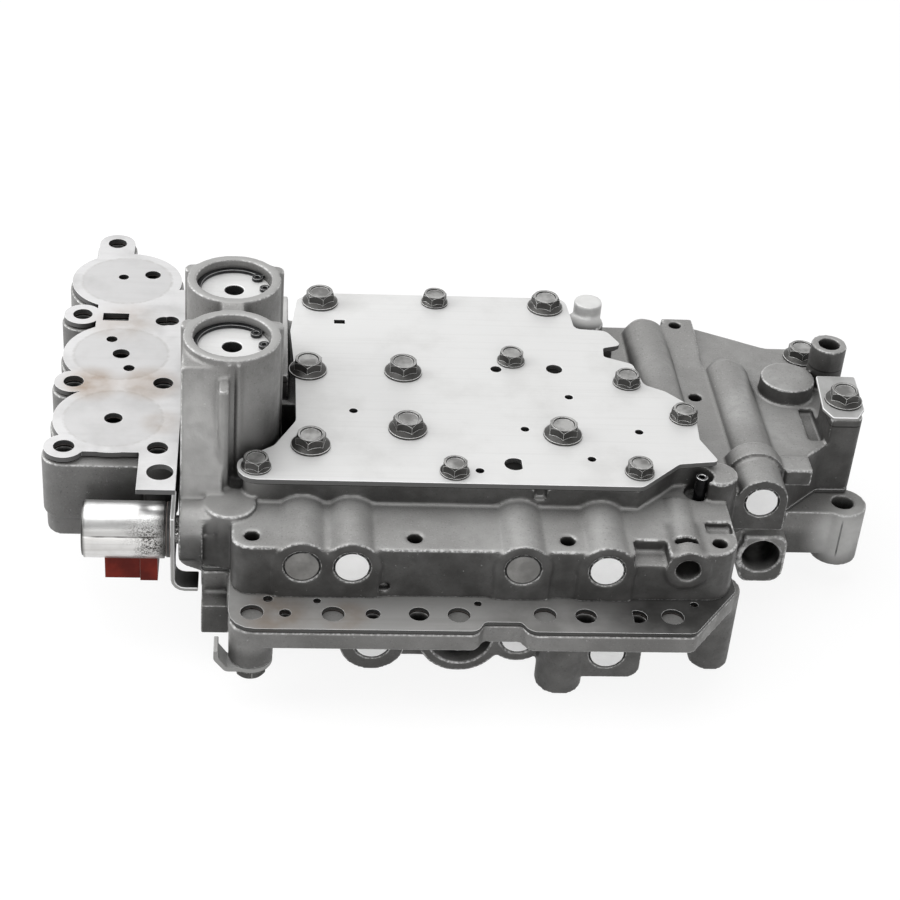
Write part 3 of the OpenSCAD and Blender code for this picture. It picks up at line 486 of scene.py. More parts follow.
@dataclass(frozen=True)
class SteelFinish:
    """Steel or aluminium in one tone with brighter edges: bolts, rings, spools, plugs and springs.

    Attributes:
        name: Name of the material.
        tone: Main colour.
        shade: Colour of the darker clouds.
        worn: Colour of the edges: worn metal on most pieces, painted shade round the plugs.
        roughness: Least roughness.
        metallic: Share of metal.
        wear: Share of the edge colour on the edges.
        grain: Noise features per metre.
        side: Colour of the painted shade on the faces that aren't level, where they differ.
    """

    name: str
    tone: Colour
    shade: Colour
    worn: Colour = (0.7, 0.7, 0.7)
    roughness: float = 0.34
    metallic: float = 0.8
    wear: float = 0.85
    grain: float = 700.0
    side: Union[Colour, None] = None

    def material(self) -> bpy.types.Material:
        """Builds the material.

        Returns:
            The material, which reads the mesh's edge attribute.
        """
        g = Surface(self.name)
        cloud, grain = g.noise(130.0, 4.0), g.noise(self.grain, 3.0, 0.6)
        colour = g.mix(g.band(cloud, 0.35, 0.68), self.shade, self.tone)
        colour = g.mix(g.band(grain, 0.55, 0.8, (0.0, 0.4)), colour, self.shade)
        # Painted shade: faces that aren't level take the darker side colour.
        if self.side is not None:
            tilted = g.times(g.band(g.level(), 0.995, 0.92), g.band(cloud, 0.3, 0.6, (0.8, 1.0)))
            colour = g.mix(tilted, colour, self.side)
        edge = g.times(g.attribute(EDGE), g.band(grain, 0.3, 0.5, (0.4, self.wear)))
        colour = g.mix(edge, colour, self.worn)
        rough = g.band(grain, 0.3, 0.7, (self.roughness, self.roughness + 0.18))
        return g.finish(colour, rough, self.metallic, g.bump(grain, 0.02))


@dataclass(frozen=True)
class PlatedFinish:
    """Satin plating of the can, wrapped with an edge and pitted towards one end, with a painted dark reflection
    above the edge and painted shade at both ends.

    Attributes:
        name: Name of the material.
        bright: Main colour.
        smear: Colour of the smears.
        below: Colour below the wrapped edge.
        above: Colour of the painted dark reflection just above it.
        dark: Colour of the painted shade at the ends.
        pit: Colour of the pits.
        pits: Places along X in millimetres where the pits begin and where they are thickest.
        pits_top: Height in millimetres below which they lie.
        ends: Place along X and width of the painted shade at each end, in millimetres.
        seam: Edge of the wrapped sheet.
    """

    name: str
    bright: Colour = (0.80, 0.80, 0.795)
    smear: Colour = (0.50, 0.495, 0.485)
    below: Colour = (0.45, 0.435, 0.42)
    above: Colour = (0.24, 0.237, 0.23)
    dark: Colour = (0.05, 0.049, 0.047)
    pit: Colour = (0.05, 0.047, 0.044)
    pits: Span = (-126.0, -113.0)
    pits_top: float = 58.0
    ends: tuple[Span, ...] = ((-137.9, 1.8), (-108.9, 5.0))
    seam: DarkZone = DarkZone((-123.0, -76.4, 50.6), (14.2, 3.0, 0.35), 0.9, (0.06, 0.058, 0.055))

    def material(self) -> bpy.types.Material:
        """Builds the material.

        Returns:
            The material.
        """
        g = Surface(self.name)
        cloud, fine = g.noise(160.0, 4.0), g.noise(1900.0, 4.0, 0.7)
        drawn = g.noise(1.0, 3.0, 0.5, g.moved(ORIGIN, (20.0, 900.0, 900.0)))
        height, wrap = g.along(g.place, Axis.Z), self.seam.centre[2]
        colour = g.mix(g.band(cloud, 0.45, 0.75, (0.0, 0.5)), self.bright, self.smear)
        under = g.band(height, (wrap + 0.1) * MM, (wrap - 0.4) * MM)
        colour = g.mix(g.times(under, g.band(drawn, 0.3, 0.7, (0.35, 0.65))), colour, self.below)
        # Painted reflection: a dark band fades upwards from the wrapped edge.
        start = g.band(height, (wrap - 0.2) * MM, (wrap + 0.2) * MM)
        fade = g.band(height, (wrap + 5.6) * MM, (wrap + 0.9) * MM, (0.0, 0.85))
        colour = g.mix(g.times(start, fade), colour, self.above)
        # Painted shade at both ends of the can.
        for end, width in self.ends:
            near = g.band(g.off(Axis.X, end), width * MM, 0.2 * MM, (0.0, 0.94))
            colour = g.mix(near, colour, self.dark)
        colour = g.mix(self.seam.share(g, cloud), colour, self.seam.tint)
        zone = g.band(g.along(g.place, Axis.X), self.pits[0] * MM, self.pits[1] * MM)
        low = g.band(height, self.pits_top * MM, (self.pits_top - 6.0) * MM)
        pitted = g.times(g.band(fine, 0.47, 0.56), zone, low, g.band(cloud, 0.34, 0.56))
        colour = g.mix(pitted, colour, self.pit)
        rough = g.band(drawn, 0.3, 0.75, (0.28, 0.42))
        return g.finish(colour, rough, 0.95, g.bump(pitted, 0.08))


@dataclass(frozen=True)
class MouldedFinish:
    """Moulded plastic, or the bonded fibre of a gasket.

    Attributes:
        name: Name of the material.
        tone: Main colour.
        shade: Colour of the darker clouds.
        roughness: Least roughness.
        grain: Noise features per metre.
        depth: Depth of the grain in millimetres.
        gloss: Strength of the shine.
        edge: Colour that the edges take on a little.
    """

    name: str
    tone: Colour
    shade: Colour
    roughness: float = 0.38
    grain: float = 900.0
    depth: float = 0.02
    gloss: float = 0.5
    edge: Colour = (0.75, 0.6, 0.55)

    def material(self) -> bpy.types.Material:
        """Builds the material.

        Returns:
            The material, which reads the mesh's edge attribute.
        """
        g = Surface(self.name)
        cloud, grain = g.noise(110.0, 4.0), g.noise(self.grain, 3.0)
        colour = g.mix(g.band(cloud, 0.35, 0.7), self.shade, self.tone)
        colour = g.mix(g.times(g.attribute(EDGE), 0.25), colour, self.edge)
        rough = g.band(grain, 0.3, 0.7, (self.roughness, self.roughness + 0.15))
        return g.finish(colour, rough, 0.0, g.bump(grain, self.depth), Specular_IOR_Level=self.gloss)


Finish = Union[CastFinish, SheetFinish, SteelFinish, PlatedFinish, MouldedFinish]


def mesh_of(bm: bmesh.types.BMesh, name: str) -> bpy.types.Mesh:
    """Writes a solid to a new mesh and frees it.

    Args:
        bm: The solid.
        name: Name of the mesh.

    Returns:
        The mesh.
    """
    mesh = bpy.data.meshes.new(name)
    bm.to_mesh(mesh)
    bm.free()
    return mesh


def add_object(name: str, data: bpy.types.ID) -> bpy.types.Object:
    """Puts data into the scene as a new object.

    Args:
        name: Name of the object.
        data: Its mesh, light or camera.

    Returns:
        The object.
    """
    made = bpy.data.objects.new(name, data)
    bpy.context.scene.collection.objects.link(made)
    return made


@dataclass
class Shop:
    """What every sub-assembly needs: the CAD nodes, the record's slots and the materials.

    Attributes:
        nodes: CAD nodes by name.
        slots: Record's material slot of each node; not used.
        materials: Materials by the name of their finish.
    """

    nodes: dict[str, bpy.types.Object]
    slots: dict[str, str]
    materials: dict[str, bpy.types.Material] = field(default_factory=dict)

    def merged(self, node: str) -> bmesh.types.BMesh:
        """Copy of a node's mesh with its doubles merged.

        Args:
            node: Name of the node.

        Returns:
            The copy, for the caller to free.
        """
        bm = bmesh.new()
        bm.from_mesh(self.nodes[node].data)
        bmesh.ops.remove_doubles(bm, verts=bm.verts[:], dist=1e-6)
        return bm

    def dress(self, mesh: bpy.types.Mesh, finish: Finish) -> None:
        """Gives a mesh its finish, whose material is built at its first use.

        Args:
            mesh: The mesh.
            finish: The finish.
        """
        if finish.name not in self.materials:
            self.materials[finish.name] = finish.material()
        mesh.materials.clear()
        mesh.materials.append(self.materials[finish.name])

    def place(self, mesh: bpy.types.Mesh, finish: Finish) -> bpy.types.Object:
        """Puts a mesh into the scene as a piece of the housing.

        Args:
            mesh: The mesh, which also gives the piece its name.
            finish: Its finish.

        Returns:
            The new object.
        """
        self.dress(mesh, finish)
        return add_object(mesh.name, mesh)

    def stand_for(self, piece: bpy.types.Object, node: str) -> None:
        """Lets a piece of the housing replace a CAD node.

        Args:
            piece: The piece.
            node: Name of the node.
        """
        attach(piece, HOUSING)
        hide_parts(node)
        LOG.info("%s: %d faces", piece.name, len(piece.data.polygons))

    def paint(self, node: str, finish: Finish) -> None:
        """Gives a CAD node that stays its finish.

        Args:
            node: Name of the node.
            finish: The finish.
        """
        self.dress(self.nodes[node].data, finish)
        LOG.info("%s: painted", node)


class SubAssembly(Protocol):
    """Anything that builds its pieces in the shop."""

    def build(self, shop: Shop) -> None:
        """Builds the pieces."""


def applied(piece: bpy.types.Object) -> None:
    """Applies a piece's modifiers to its mesh.

    Args:
        piece: The piece.
    """
    graph = bpy.context.evaluated_depsgraph_get()
    mesh = bpy.data.meshes.new_from_object(
        piece.evaluated_get(graph), preserve_all_data_layers=True, depsgraph=graph
    )
    old = piece.data
    piece.modifiers.clear()
    piece.data = mesh
    bpy.data.meshes.remove(old)


def mark_edges(mesh: bpy.types.Mesh, rounds: int, reach_mm: float) -> None:
    """Keeps on each vertex how far it stands out of, or lies in, its surroundings.

    Args:
        mesh: Dense mesh.
        rounds: Rounds of averaging that give the surroundings.
        reach_mm: Distance that counts as a full edge or corner.
    """
    count = len(mesh.vertices)
    place = np.empty(count * 3)
    normal = np.empty(count * 3)
    ends = np.empty(len(mesh.edges) * 2, dtype=np.int64)
    mesh.vertices.foreach_get("co", place)
    mesh.vertices.foreach_get("normal", normal)
    mesh.edges.foreach_get("vertices", ends)
    place, normal = place.reshape(-1, 3), normal.reshape(-1, 3)
    first, second = ends[0::2], ends[1::2]
    links = np.maximum(np.bincount(first, minlength=count) + np.bincount(second, minlength=count), 1)
    soft = place
    for _ in range(rounds):
        soft = np.stack(
            [
                (np.bincount(first, soft[second, k], count) + np.bincount(second, soft[first, k], count)) / links
                for k in range(3)
            ],
            axis=1,
        )
    stand = ((place - soft) * normal).sum(axis=1) / (reach_mm * MM)
    for name, sign in ((EDGE, 1.0), (CORNER, -1.0)):
        layer = mesh.attributes.new(name, "FLOAT", "POINT")
        layer.data.foreach_set("value", np.clip(sign * stand, 0.0, 1.0).astype(np.float32))


@dataclass(frozen=True)
class RoundedCorner:
    """A corner of a boss, seen from the front, that the mould rounds off.

    Attributes:
        corner: X and Z of the corner in millimetres.
        inward: Signs along X and Z that lead from the corner into the boss.
        radius: Radius in millimetres.
        span: Y in millimetres at which the rounding begins and ends.
        steps: Faces along the rounding.
    """

    corner: Span
    inward: Span
    radius: float
    span: Span
    steps: int = 8

    def solid(self) -> bmesh.types.BMesh:
        """Builds the solid between the corner and its rounding.

        Returns:
            The solid, for the caller to free.
        """
        (x, z), (sx, sz), r = self.corner, self.inward, self.radius
        outline = [(x - sx, z - sz), (x + sx * r, z - sz)]
        for i in range(self.steps + 1):
            turn = 0.5 * math.pi * i / self.steps
            outline.append((x + sx * r * (1.0 - math.sin(turn)), z + sz * r * (1.0 - math.cos(turn))))
        outline.append((x - sx, z + sz * r))
        bm = bmesh.new()
        low, high = self.span
        face = bm.faces.new([bm.verts.new((px * MM, low * MM, pz * MM)) for px, pz in outline])
        made = bmesh.ops.extrude_face_region(bm, geom=[face])
        moved = [v for v in made["geom"] if isinstance(v, bmesh.types.BMVert)]
        bmesh.ops.translate(bm, verts=moved, vec=(0.0, (high - low) * MM, 0.0))
        bmesh.ops.recalc_face_normals(bm, faces=bm.faces[:])
        return bm


@dataclass(frozen=True)
class BoreRelief:
    """Room at the blind end of a bore, so that the rounded corner there clears the valve.

    Attributes:
        axis: X and Z of the bore's axis in millimetres.
        radius: Radius in millimetres.
        span: Y in millimetres at which the relief begins and ends.
        sides: Faces around the relief.
    """

    axis: Span
    radius: float
    span: Span
    sides: int = 48

    def solid(self) -> bmesh.types.BMesh:
        """Builds the solid of the relief.

        Returns:
            The solid, for the caller to free.
        """
        low, high = self.span
        centre = Matrix.Translation((self.axis[0] * MM, 0.5 * (low + high) * MM, self.axis[1] * MM))
        bm = bmesh.new()
        bmesh.ops.create_cone(
            bm, cap_ends=True, cap_tris=False, segments=self.sides, radius1=self.radius * MM,
            radius2=self.radius * MM, depth=(high - low) * MM,
            matrix=centre @ Matrix.Rotation(0.5 * math.pi, 4, "X"),
        )
        return bm


@dataclass
class Casting:
    """A die casting whose edges are rounded as a mould leaves them.

    Attributes:
        node: CAD node that it replaces.
        finish: Its finish.
        voxel: Size of the mesh's cells in millimetres.
        smooth: Rounds of smoothing, which set the radius of the edges.
        triangles: Most triangles that it keeps.
        cuts: What is cut away from the copy before its edges are rounded.
        edge_rounds: Rounds of averaging that tell an edge from its surroundings.
        edge_reach: Distance in millimetres from them that counts as a full edge.
    """

    node: str
    finish: CastFinish
    voxel: float = 0.66
    smooth: int = 3
    triangles: int = 190000
    cuts: tuple[Union[RoundedCorner, BoreRelief], ...] = ()
    edge_rounds: int = 4
    edge_reach: float = 0.28

    def build(self, shop: Shop) -> None:
        """Remeshes the node's copy, softens it and thins it out.

        Args:
            shop: Nodes and materials.
        """
        piece = shop.place(mesh_of(shop.merged(self.node), f"{self.node}_cast"), self.finish)
        tools = [add_object("cutting_tool", mesh_of(cut.solid(), "cutting_tool")) for cut in self.cuts]
        for tool in tools:
            cutting = piece.modifiers.new("cut", "BOOLEAN")
            cutting.operation = "DIFFERENCE"
            cutting.solver = "EXACT"
            cutting.object = tool
        remesh = piece.modifiers.new("cells", "REMESH")
        remesh.mode = "VOXEL"
        remesh.voxel_size = self.voxel * MM * 1.0
        remesh.use_smooth_shade = True
        soften = piece.modifiers.new("soften", "SMOOTH")
        soften.factor = 0.5
        soften.iterations = self.smooth
        applied(piece)
        for tool in tools:
            bpy.data.meshes.remove(tool.data)
        mark_edges(piece.data, self.edge_rounds, self.edge_reach)
        found = sum(len(p.vertices) - 2 for p in piece.data.polygons)
        thin = piece.modifiers.new("thin", "DECIMATE")
        thin.ratio = min(1.0, self.triangles / found)
        applied(piece)
        piece.data.shade_smooth()
        shop.stand_for(piece, self.node)


@dataclass
class HardPiece:
    """A cut, turned or pressed piece with small broken edges.

    Attributes:
        node: CAD node that it replaces.
        finish: Its finish.
        bevel: Width of the broken edges in millimetres.
        sharp: Angle in degrees from which an edge is broken.
        segments: Faces across a broken edge.
        flat: Angle in degrees up to which faces are joined into one.
    """

    node: str
    finish: Finish
    bevel: float = 0.25
    sharp: float = 28.0
    segments: int = 2
    flat: float = 0.6

    def build(self, shop: Shop) -> None:
        """Breaks the edges of the node's copy and marks them in the edge attribute, which the finishes paint as
        worn edges, as a painted highlight on sheet and as painted shade round the plugs.

        Args:
            shop: Nodes and materials.
        """
        bm = shop.merged(self.node)
        bmesh.ops.dissolve_limit(bm, angle_limit=math.radians(self.flat), verts=bm.verts[:], edges=bm.edges[:])
        worn = bm.faces.layers.float.new(EDGE)
        hard = [e for e in bm.edges if e.is_manifold and e.calc_face_angle(0.0) > math.radians(self.sharp)]
        made = bmesh.ops.bevel(
            bm, geom=hard, offset=self.bevel * MM, offset_type="OFFSET", segments=self.segments,
            profile=0.5, affect="EDGES", clamp_overlap=True, material=-1,
        )
        for face in made["faces"]:
            face[worn] = 1.0
        mesh = mesh_of(bm, f"{self.node}_piece")
        mesh.shade_smooth()
        piece = shop.place(mesh, self.finish)
        even = piece.modifiers.new("even", "WEIGHTED_NORMAL")
        even.keep_sharp = True
        shop.stand_for(piece, self.node)


# Painted shade inside bores.
PAINTED_BORE_SHADE: Colour = (0.010, 0.0098, 0.0095)
PALE_STEEL = SheetFinish("pale_steel")
GASKET = MouldedFinish(
    "bonded_fibre", (0.018, 0.0175, 0.017), (0.009, 0.0088, 0.0085), 0.7, 1500.0, depth=0.03, gloss=0.1
)
# Near-black sides against light tops: painted shade on one steel; the bright edges are worn.
BOLT = SteelFinish(
    "dark_bolt", (0.42, 0.418, 0.41), (0.17, 0.168, 0.163), (0.86, 0.86, 0.85), 0.3,
    metallic=0.7, wear=0.95, grain=900.0, side=(0.045, 0.044, 0.042),
)
SPRING_STEEL = SteelFinish("spring_wire", (0.16, 0.165, 0.17), (0.08, 0.08, 0.085))
SPOOL = SteelFinish("ground_spool", (0.40, 0.405, 0.41), (0.28, 0.28, 0.285), roughness=0.22)
PISTON = SteelFinish("dark_piston", (0.02, 0.02, 0.021), (0.012, 0.012, 0.012), roughness=0.6, metallic=0.3)
# The near-black edge colour is painted shade in the gap round each plug.
DULL_PLUG = SteelFinish(
    "dull_plug", (0.26, 0.256, 0.247), (0.17, 0.167, 0.161), (0.015, 0.015, 0.015), 0.42, metallic=0.4, wear=1.0
)
# Near-white diffuse colour: the turned aluminium's own brightness with its reflection of the white surround
# painted in; the near-black edge colour is painted shade in the gap round each plug.
BRIGHT_PLUG = SteelFinish(
    "bright_plug", (0.96, 0.96, 0.957), (0.91, 0.91, 0.906), (0.012, 0.012, 0.012), 0.3, metallic=0.0, wear=1.0
)
TOWER_COVER = SheetFinish(
    "turned_cover", (0.74, 0.74, 0.735), (0.58, 0.58, 0.575), (60.0, 500.0, 60.0), roughness=0.3
)
SNAP_RING = SteelFinish("dark_ring", (0.05, 0.051, 0.053), (0.025, 0.025, 0.026), (0.4, 0.4, 0.4), 0.38)
# Near-black colour: painted shade inside the regulator's bore.
DARK_SLEEVE = SteelFinish("shaded_sleeve", (0.03, 0.0295, 0.029), (0.014, 0.0137, 0.0134), (0.3, 0.3, 0.3), 0.5)
ZINC_SHEET = SheetFinish(
    "zinc_sheet", (0.46, 0.46, 0.455), (0.30, 0.298, 0.29), (300.0, 20.0, 20.0), side=(0.28, 0.278, 0.272)
)
BLACK_PLASTIC = MouldedFinish("black_moulding", (0.018, 0.018, 0.018), (0.01, 0.01, 0.01), 0.45)
RED_PLASTIC = MouldedFinish(
    "red_brown_moulding", (0.18, 0.022, 0.014), (0.09, 0.011, 0.008), 0.42, 700.0, gloss=0.12
)
GLOSSY_PIN = SteelFinish("glossy_pin", (0.02, 0.02, 0.021), (0.01, 0.01, 0.01), (0.5, 0.5, 0.5), 0.12)
BALL = SteelFinish("polished_ball", (0.5, 0.505, 0.51), (0.42, 0.42, 0.425), roughness=0.1)


@dataclass
class Castings:
    """The three castings.

    Attributes:
        rim_z: Height of the tower rims in millimetres.
        rim_radius: Radius that the turning of a rim covers.
        seat_z: Height of the face under the cover's gasket.
        towers: Axes of the towers in plan.
        pale_post: Top of the post behind the cover, which gets a painted highlight.
        post_radius: Radius of the post's cut face.
        front_boss: Y at which the boss of the manual valve begins and ends.
    """

    rim_z: float = 105.2
    rim_radius: float = 18.5
    seat_z: float = 65.0
    towers: tuple[Span, ...] = ((-87.6, -30.85), (-87.6, 7.95))
    pale_post: Point = (52.9, 58.15, 70.0)
    post_radius: float = 5.6
    front_boss: Span = (-48.0, -14.0)

    def build(self, shop: Shop) -> None:
        """Builds the upper, the lower and the accumulator casting.

        Args:
            shop: Nodes and materials.
        """
        cuts = (
            BoreRelief((110.5, 23.5), 7.4, (30.0, 41.6)),
            RoundedCorner((120.0, 11.5), (-1.0, 1.0), 5.5, self.front_boss),
            RoundedCorner((120.0, 33.0), (-1.0, -1.0), 5.0, self.front_boss),
            RoundedCorner((103.0, 11.5), (1.0, 1.0), 4.0, self.front_boss),
            RoundedCorner((59.0, 5.5), (-1.0, 1.0), 5.0, (-97.0, -58.0)),
        )
        Casting("upper_body", self._upper()).build(shop)
        Casting("lower_body", self._lower(), cuts=cuts).build(shop)
        side = CastFinish(
            "cast_side", (0.34, 0.338, 0.333), (0.25, 0.248, 0.243), film=(0.45, 0.42), film_ends=(40.0, 60.0),
            # Painted shadow on the front of the accumulator casting, towards the tower.
            stains=(StainOrPaintedLight((-112.0, -58.0, 52.0), 32.0, 0.9, (0.03, 0.029, 0.028), 0.15),),
        )
        Casting("accumulator_body", side, triangles=90000).build(shop)

    def _upper(self) -> CastFinish:
        """Finish of the upper casting.

        Returns:
            The finish, with turned rims, a post with a painted highlight, a lighter patch behind the rear tower,
            painted light on the front tower's left flank, and painted shade in a bore and on the seat under the
            cover.
        """
        rims = tuple(Machined((x, y, self.rim_z), self.rim_radius) for x, y in self.towers)
        post = Machined(self.pale_post, self.post_radius)
        x, y, z = self.pale_post
        stains = (
            # Painted highlight on the post behind the cover.
            StainOrPaintedLight((x, y, z - 3.0), 15.0, 1.0, (0.76, 0.76, 0.75), 0.2),
            StainOrPaintedLight((-68.1, 50.0, 66.0), 24.0, 0.75, (0.66, 0.66, 0.65), 0.4),
            # Painted light on the front tower's left flank.
            StainOrPaintedLight((-99.0, -62.0, 76.0), 36.0, 0.85, (0.40, 0.397, 0.39), 0.25),
            # Painted shade inside a bore.
            DarkZone((71.9, -79.5, 50.3), (8.0, 10.6, 8.0), 1.0, PAINTED_BORE_SHADE),
        )
        return CastFinish("cast_upper", joint=self.seat_z, faces=(*rims, post), stains=stains)

    def _lower(self) -> CastFinish:
        """Finish of the lower casting.

        Returns:
            The finish, with a painted highlight on the lug, its parting line and painted shade in two bores.
        """
        stains = (
            # Painted highlight on the front of the lug boss.
            StainOrPaintedLight((145.0, -34.0, 24.0), 18.0, 0.9, (0.50, 0.498, 0.49), 0.3),
            DarkZone((143.4, -33.0, 23.0), (0.4, 4.0, 9.5)),
            # Painted shade inside two bores.
            DarkZone((110.5, -29.4, 23.5), (9.6, 17.6, 9.6), 1.0, PAINTED_BORE_SHADE),
            DarkZone((-5.0, -70.0, 16.5), (18.0, 18.0, 18.0), 1.0, PAINTED_BORE_SHADE),
        )
        tones = (0.33, 0.327, 0.32), (0.235, 0.232, 0.226)
        return CastFinish("cast_lower", *tones, film=(0.78, 0.42), film_ends=(22.0, 28.0), stains=stains)


@dataclass
class CoverStack:
    """Cover plate, separator plate and their gaskets.

    Attributes:
        bevel: Width of the cover's broken edges in millimetres.
        flange_z: Height of the separator plate's flange in millimetres.
        rust: Colour of the flange's small rust patches.
    """

    bevel: float = 0.35
    flange_z: float = 36.0
    rust: Colour = (0.16, 0.11, 0.07)

    def build(self, shop: Shop) -> None:
        """Builds the plates and gaskets of the main stack.

        Args:
            shop: Nodes and materials.
        """
        stains = (
            StainOrPaintedLight((-70.0, -99.0, self.flange_z), 16.0, 0.6, self.rust),
            StainOrPaintedLight((-47.0, -100.0, self.flange_z), 12.0, 0.55, self.rust),
            # The two dark patches make the flange darker towards the right.
            StainOrPaintedLight((22.0, -98.0, self.flange_z), 30.0, 0.4, (0.06, 0.058, 0.055)),
            StainOrPaintedLight((72.0, -92.0, self.flange_z), 50.0, 0.95, (0.025, 0.0245, 0.0235), 0.2),
        )
        separator = SheetFinish(
            "separator_steel", (0.31, 0.307, 0.301), (0.2, 0.197, 0.191), (18.0, 500.0, 18.0), stains=stains
        )
        HardPiece("cover_plate", PALE_STEEL, self.bevel).build(shop)
        HardPiece("separator_plate", separator).build(shop)
        for node in ("cover_gasket", "separator_gasket", "side_gasket"):
            HardPiece(node, GASKET, 0.1, segments=1).build(shop)


@dataclass
class SideAccumulators:
    """Side plate with its round marks and brown patches, and what lies under it.

    Attributes:
        lobes: Middles of the three lobes in plan, in millimetres.
        ring: Radius of the round marks.
        top: Height of the plate's upper face.
        brown: Colour of the brown patches.
    """

    lobes: tuple[Span, ...] = ((-129.6, -27.85), (-129.6, 15.15), (-130.6, 69.15))
    ring: float = 17.6
    top: float = 67.0
    brown: Colour = (0.26, 0.17, 0.10)

    def build(self, shop: Shop) -> None:
        """Builds the plate and paints the pistons.

        Args:
            shop: Nodes and materials.
        """
        rings = tuple(((x, y, self.top), self.ring) for x, y in self.lobes)
        stains = (
            StainOrPaintedLight((-139.0, -6.0, self.top), 14.0, 0.8, self.brown, 0.5),
            StainOrPaintedLight((-118.0, -5.0, self.top), 14.0, 0.75, self.brown, 0.5),
            StainOrPaintedLight((-130.0, 38.0, self.top), 18.0, 0.34, self.brown),
            StainOrPaintedLight((-112.0, -30.0, self.top), 10.0, 0.4, self.brown),
        )
        plate = SheetFinish(
            "side_steel", (0.66, 0.657, 0.66), (0.46, 0.456, 0.455), (30.0, 300.0, 30.0), rings, stains
        )
        HardPiece("side_plate", plate, 0.35).build(shop)
        for place in ("front", "middle", "rear"):
            shop.paint(f"side_piston_{place}", PISTON)


@dataclass
class Towers:
    """Covers, snap rings and pistons of the two towers.

    Attributes:
        places: Names of the towers.
    """

    places: tuple[str, ...] = ("front", "rear")

    def build(self, shop: Shop) -> None:
        """Builds the visible pieces and paints the hidden ones.

        Args:
            shop: Nodes and materials.
        """
        for place in self.places:
            HardPiece(f"tower_cover_{place}", TOWER_COVER, 0.4).build(shop)
            HardPiece(f"tower_ring_{place}", SNAP_RING, 0.2).build(shop)
            shop.paint(f"tower_piston_{place}", PISTON)


@dataclass
class Valves:
    """Spools, plugs, regulator, manual valve and check balls.

    Attributes:
        upper: Number of spools in the upper row.
        lower: Number of spools in the lower row.
    """

    upper: int = 4
    lower: int = 3

    def build(self, shop: Shop) -> None:
        """Builds the plugs and paints what lies in the bores.

        Args:
            shop: Nodes and materials.
        """
        for node, finish in (("dull", DULL_PLUG), ("bright", BRIGHT_PLUG), ("lower", BRIGHT_PLUG)):
            HardPiece(f"{node}_plugs", finish, 0.5, segments=3).build(shop)
        HardPiece("regulator_sleeve", DARK_SLEEVE, 0.5).build(shop)
        rows = (("upper", self.upper), ("lower", self.lower))
        spools = [f"{row}_spool_{i + 1}" for row, count in rows for i in range(count)]
        for node in (*spools, "right_spool", "regulator_spool", "manual_valve"):
            shop.paint(node, SPOOL)
        shop.paint("check_balls", BALL)


@dataclass
class Springs:
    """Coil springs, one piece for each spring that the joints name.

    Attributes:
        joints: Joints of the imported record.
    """

    joints: Sequence[dict]

    def build(self, shop: Shop) -> None:
        """Builds a piece for each spring that the joints name.

        Args:
            shop: Nodes and materials.
        """
        for joint in self.joints:
            for spring in joint.get("deforming_nodes", []):
                self._coil(shop, joint, spring)

    def _coil(self, shop: Shop, joint: dict, spring: dict) -> None:
        """Builds one spring as a smooth-shaded copy of its node.

        Args:
            shop: Nodes and materials.
            joint: Joint that loads the spring; not used.
            spring: Record's entry for the spring.
        """
        node, letter = spring["node"], spring["mode"][-1]
        row = Axis[letter.upper()].value
        mesh = mesh_of(shop.merged(node), f"{node}_coil")
        mesh.shade_smooth()
        piece = shop.place(mesh, SPRING_STEEL)
        shop.stand_for(piece, node)
        low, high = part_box(node)
        axis, anchor = [0.0] * 3, [0.5 * (a + b) for a, b in zip(low, high)]
        axis[row], anchor[row] = 1.0, spring[f"fixed_end_{letter}_m"]
        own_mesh(piece)


@dataclass
class Solenoid:
    """Can, dark end, connector and bracket.

    Attributes:
        shadowed: Inner corner of the bracket in millimetres, where shade is painted.
    """

    shadowed: Point = (-93.5, -71.0, 31.0)

    def build(self, shop: Shop) -> None:
        """Builds the solenoid's pieces.

        Args:
            shop: Nodes and materials.
        """
        HardPiece("solenoid_can", PlatedFinish("bright_can"), 0.35, segments=3).build(shop)
        HardPiece("solenoid_bobbin", BLACK_PLASTIC).build(shop)
        HardPiece("solenoid_connector", RED_PLASTIC, 0.5, segments=3).build(shop)
        sheet = SheetFinish(
            "bracket_sheet", (0.40, 0.40, 0.395), (0.26, 0.258, 0.25), (300.0, 20.0, 20.0),
            # Painted shade in the bracket's inner corner.
            stains=(StainOrPaintedLight(self.shadowed, 20.0, 1.0, (0.010, 0.010, 0.010), 0.05),), side=(0.34, 0.338, 0.33),
        )
        HardPiece("solenoid_bracket", sheet, 0.3).build(shop)


@dataclass
class Fasteners:
    """Bolts, brackets and the pin.

    Attributes:
        bevel: Width of the broken edges of brackets and pin in millimetres.
    """

    bevel: float = 0.3

    def build(self, shop: Shop) -> None:
        """Builds the fasteners and what they hold.

        Args:
            shop: Nodes and materials.
        """
        for node in ("flange_bolts", "cover_screws", "under_bolts"):
            HardPiece(node, BOLT, 0.2, sharp=20.0).build(shop)
        held = (("left_bracket", ZINC_SHEET), ("right_bracket", ZINC_SHEET), ("spring_pin", GLOSSY_PIN))
        for node, finish in held:
            HardPiece(node, finish, self.bevel).build(shop)


@dataclass(frozen=True)
class Lamp:
    """A square soft light.

    Attributes:
        name: Its name.
        place: Its place in millimetres.
        size: Side in metres.
        watts: Its power.
    """

    name: str
    place: Point
    size: float
    watts: float

    def hang(self, aim: Point) -> None:
        """Hangs the light so that it faces a point.

        Args:
            aim: The point in millimetres.
        """
        light = bpy.data.lights.new(self.name, "AREA")
        light.shape = "SQUARE"
        light.size = self.size
        light.energy = self.watts
        holder = add_object(self.name, light)
        start, end = Vector(self.place) * MM, Vector(aim) * MM
        holder.location = start
        holder.rotation_euler = (end - start).to_track_quat("-Z", "Y").to_euler()


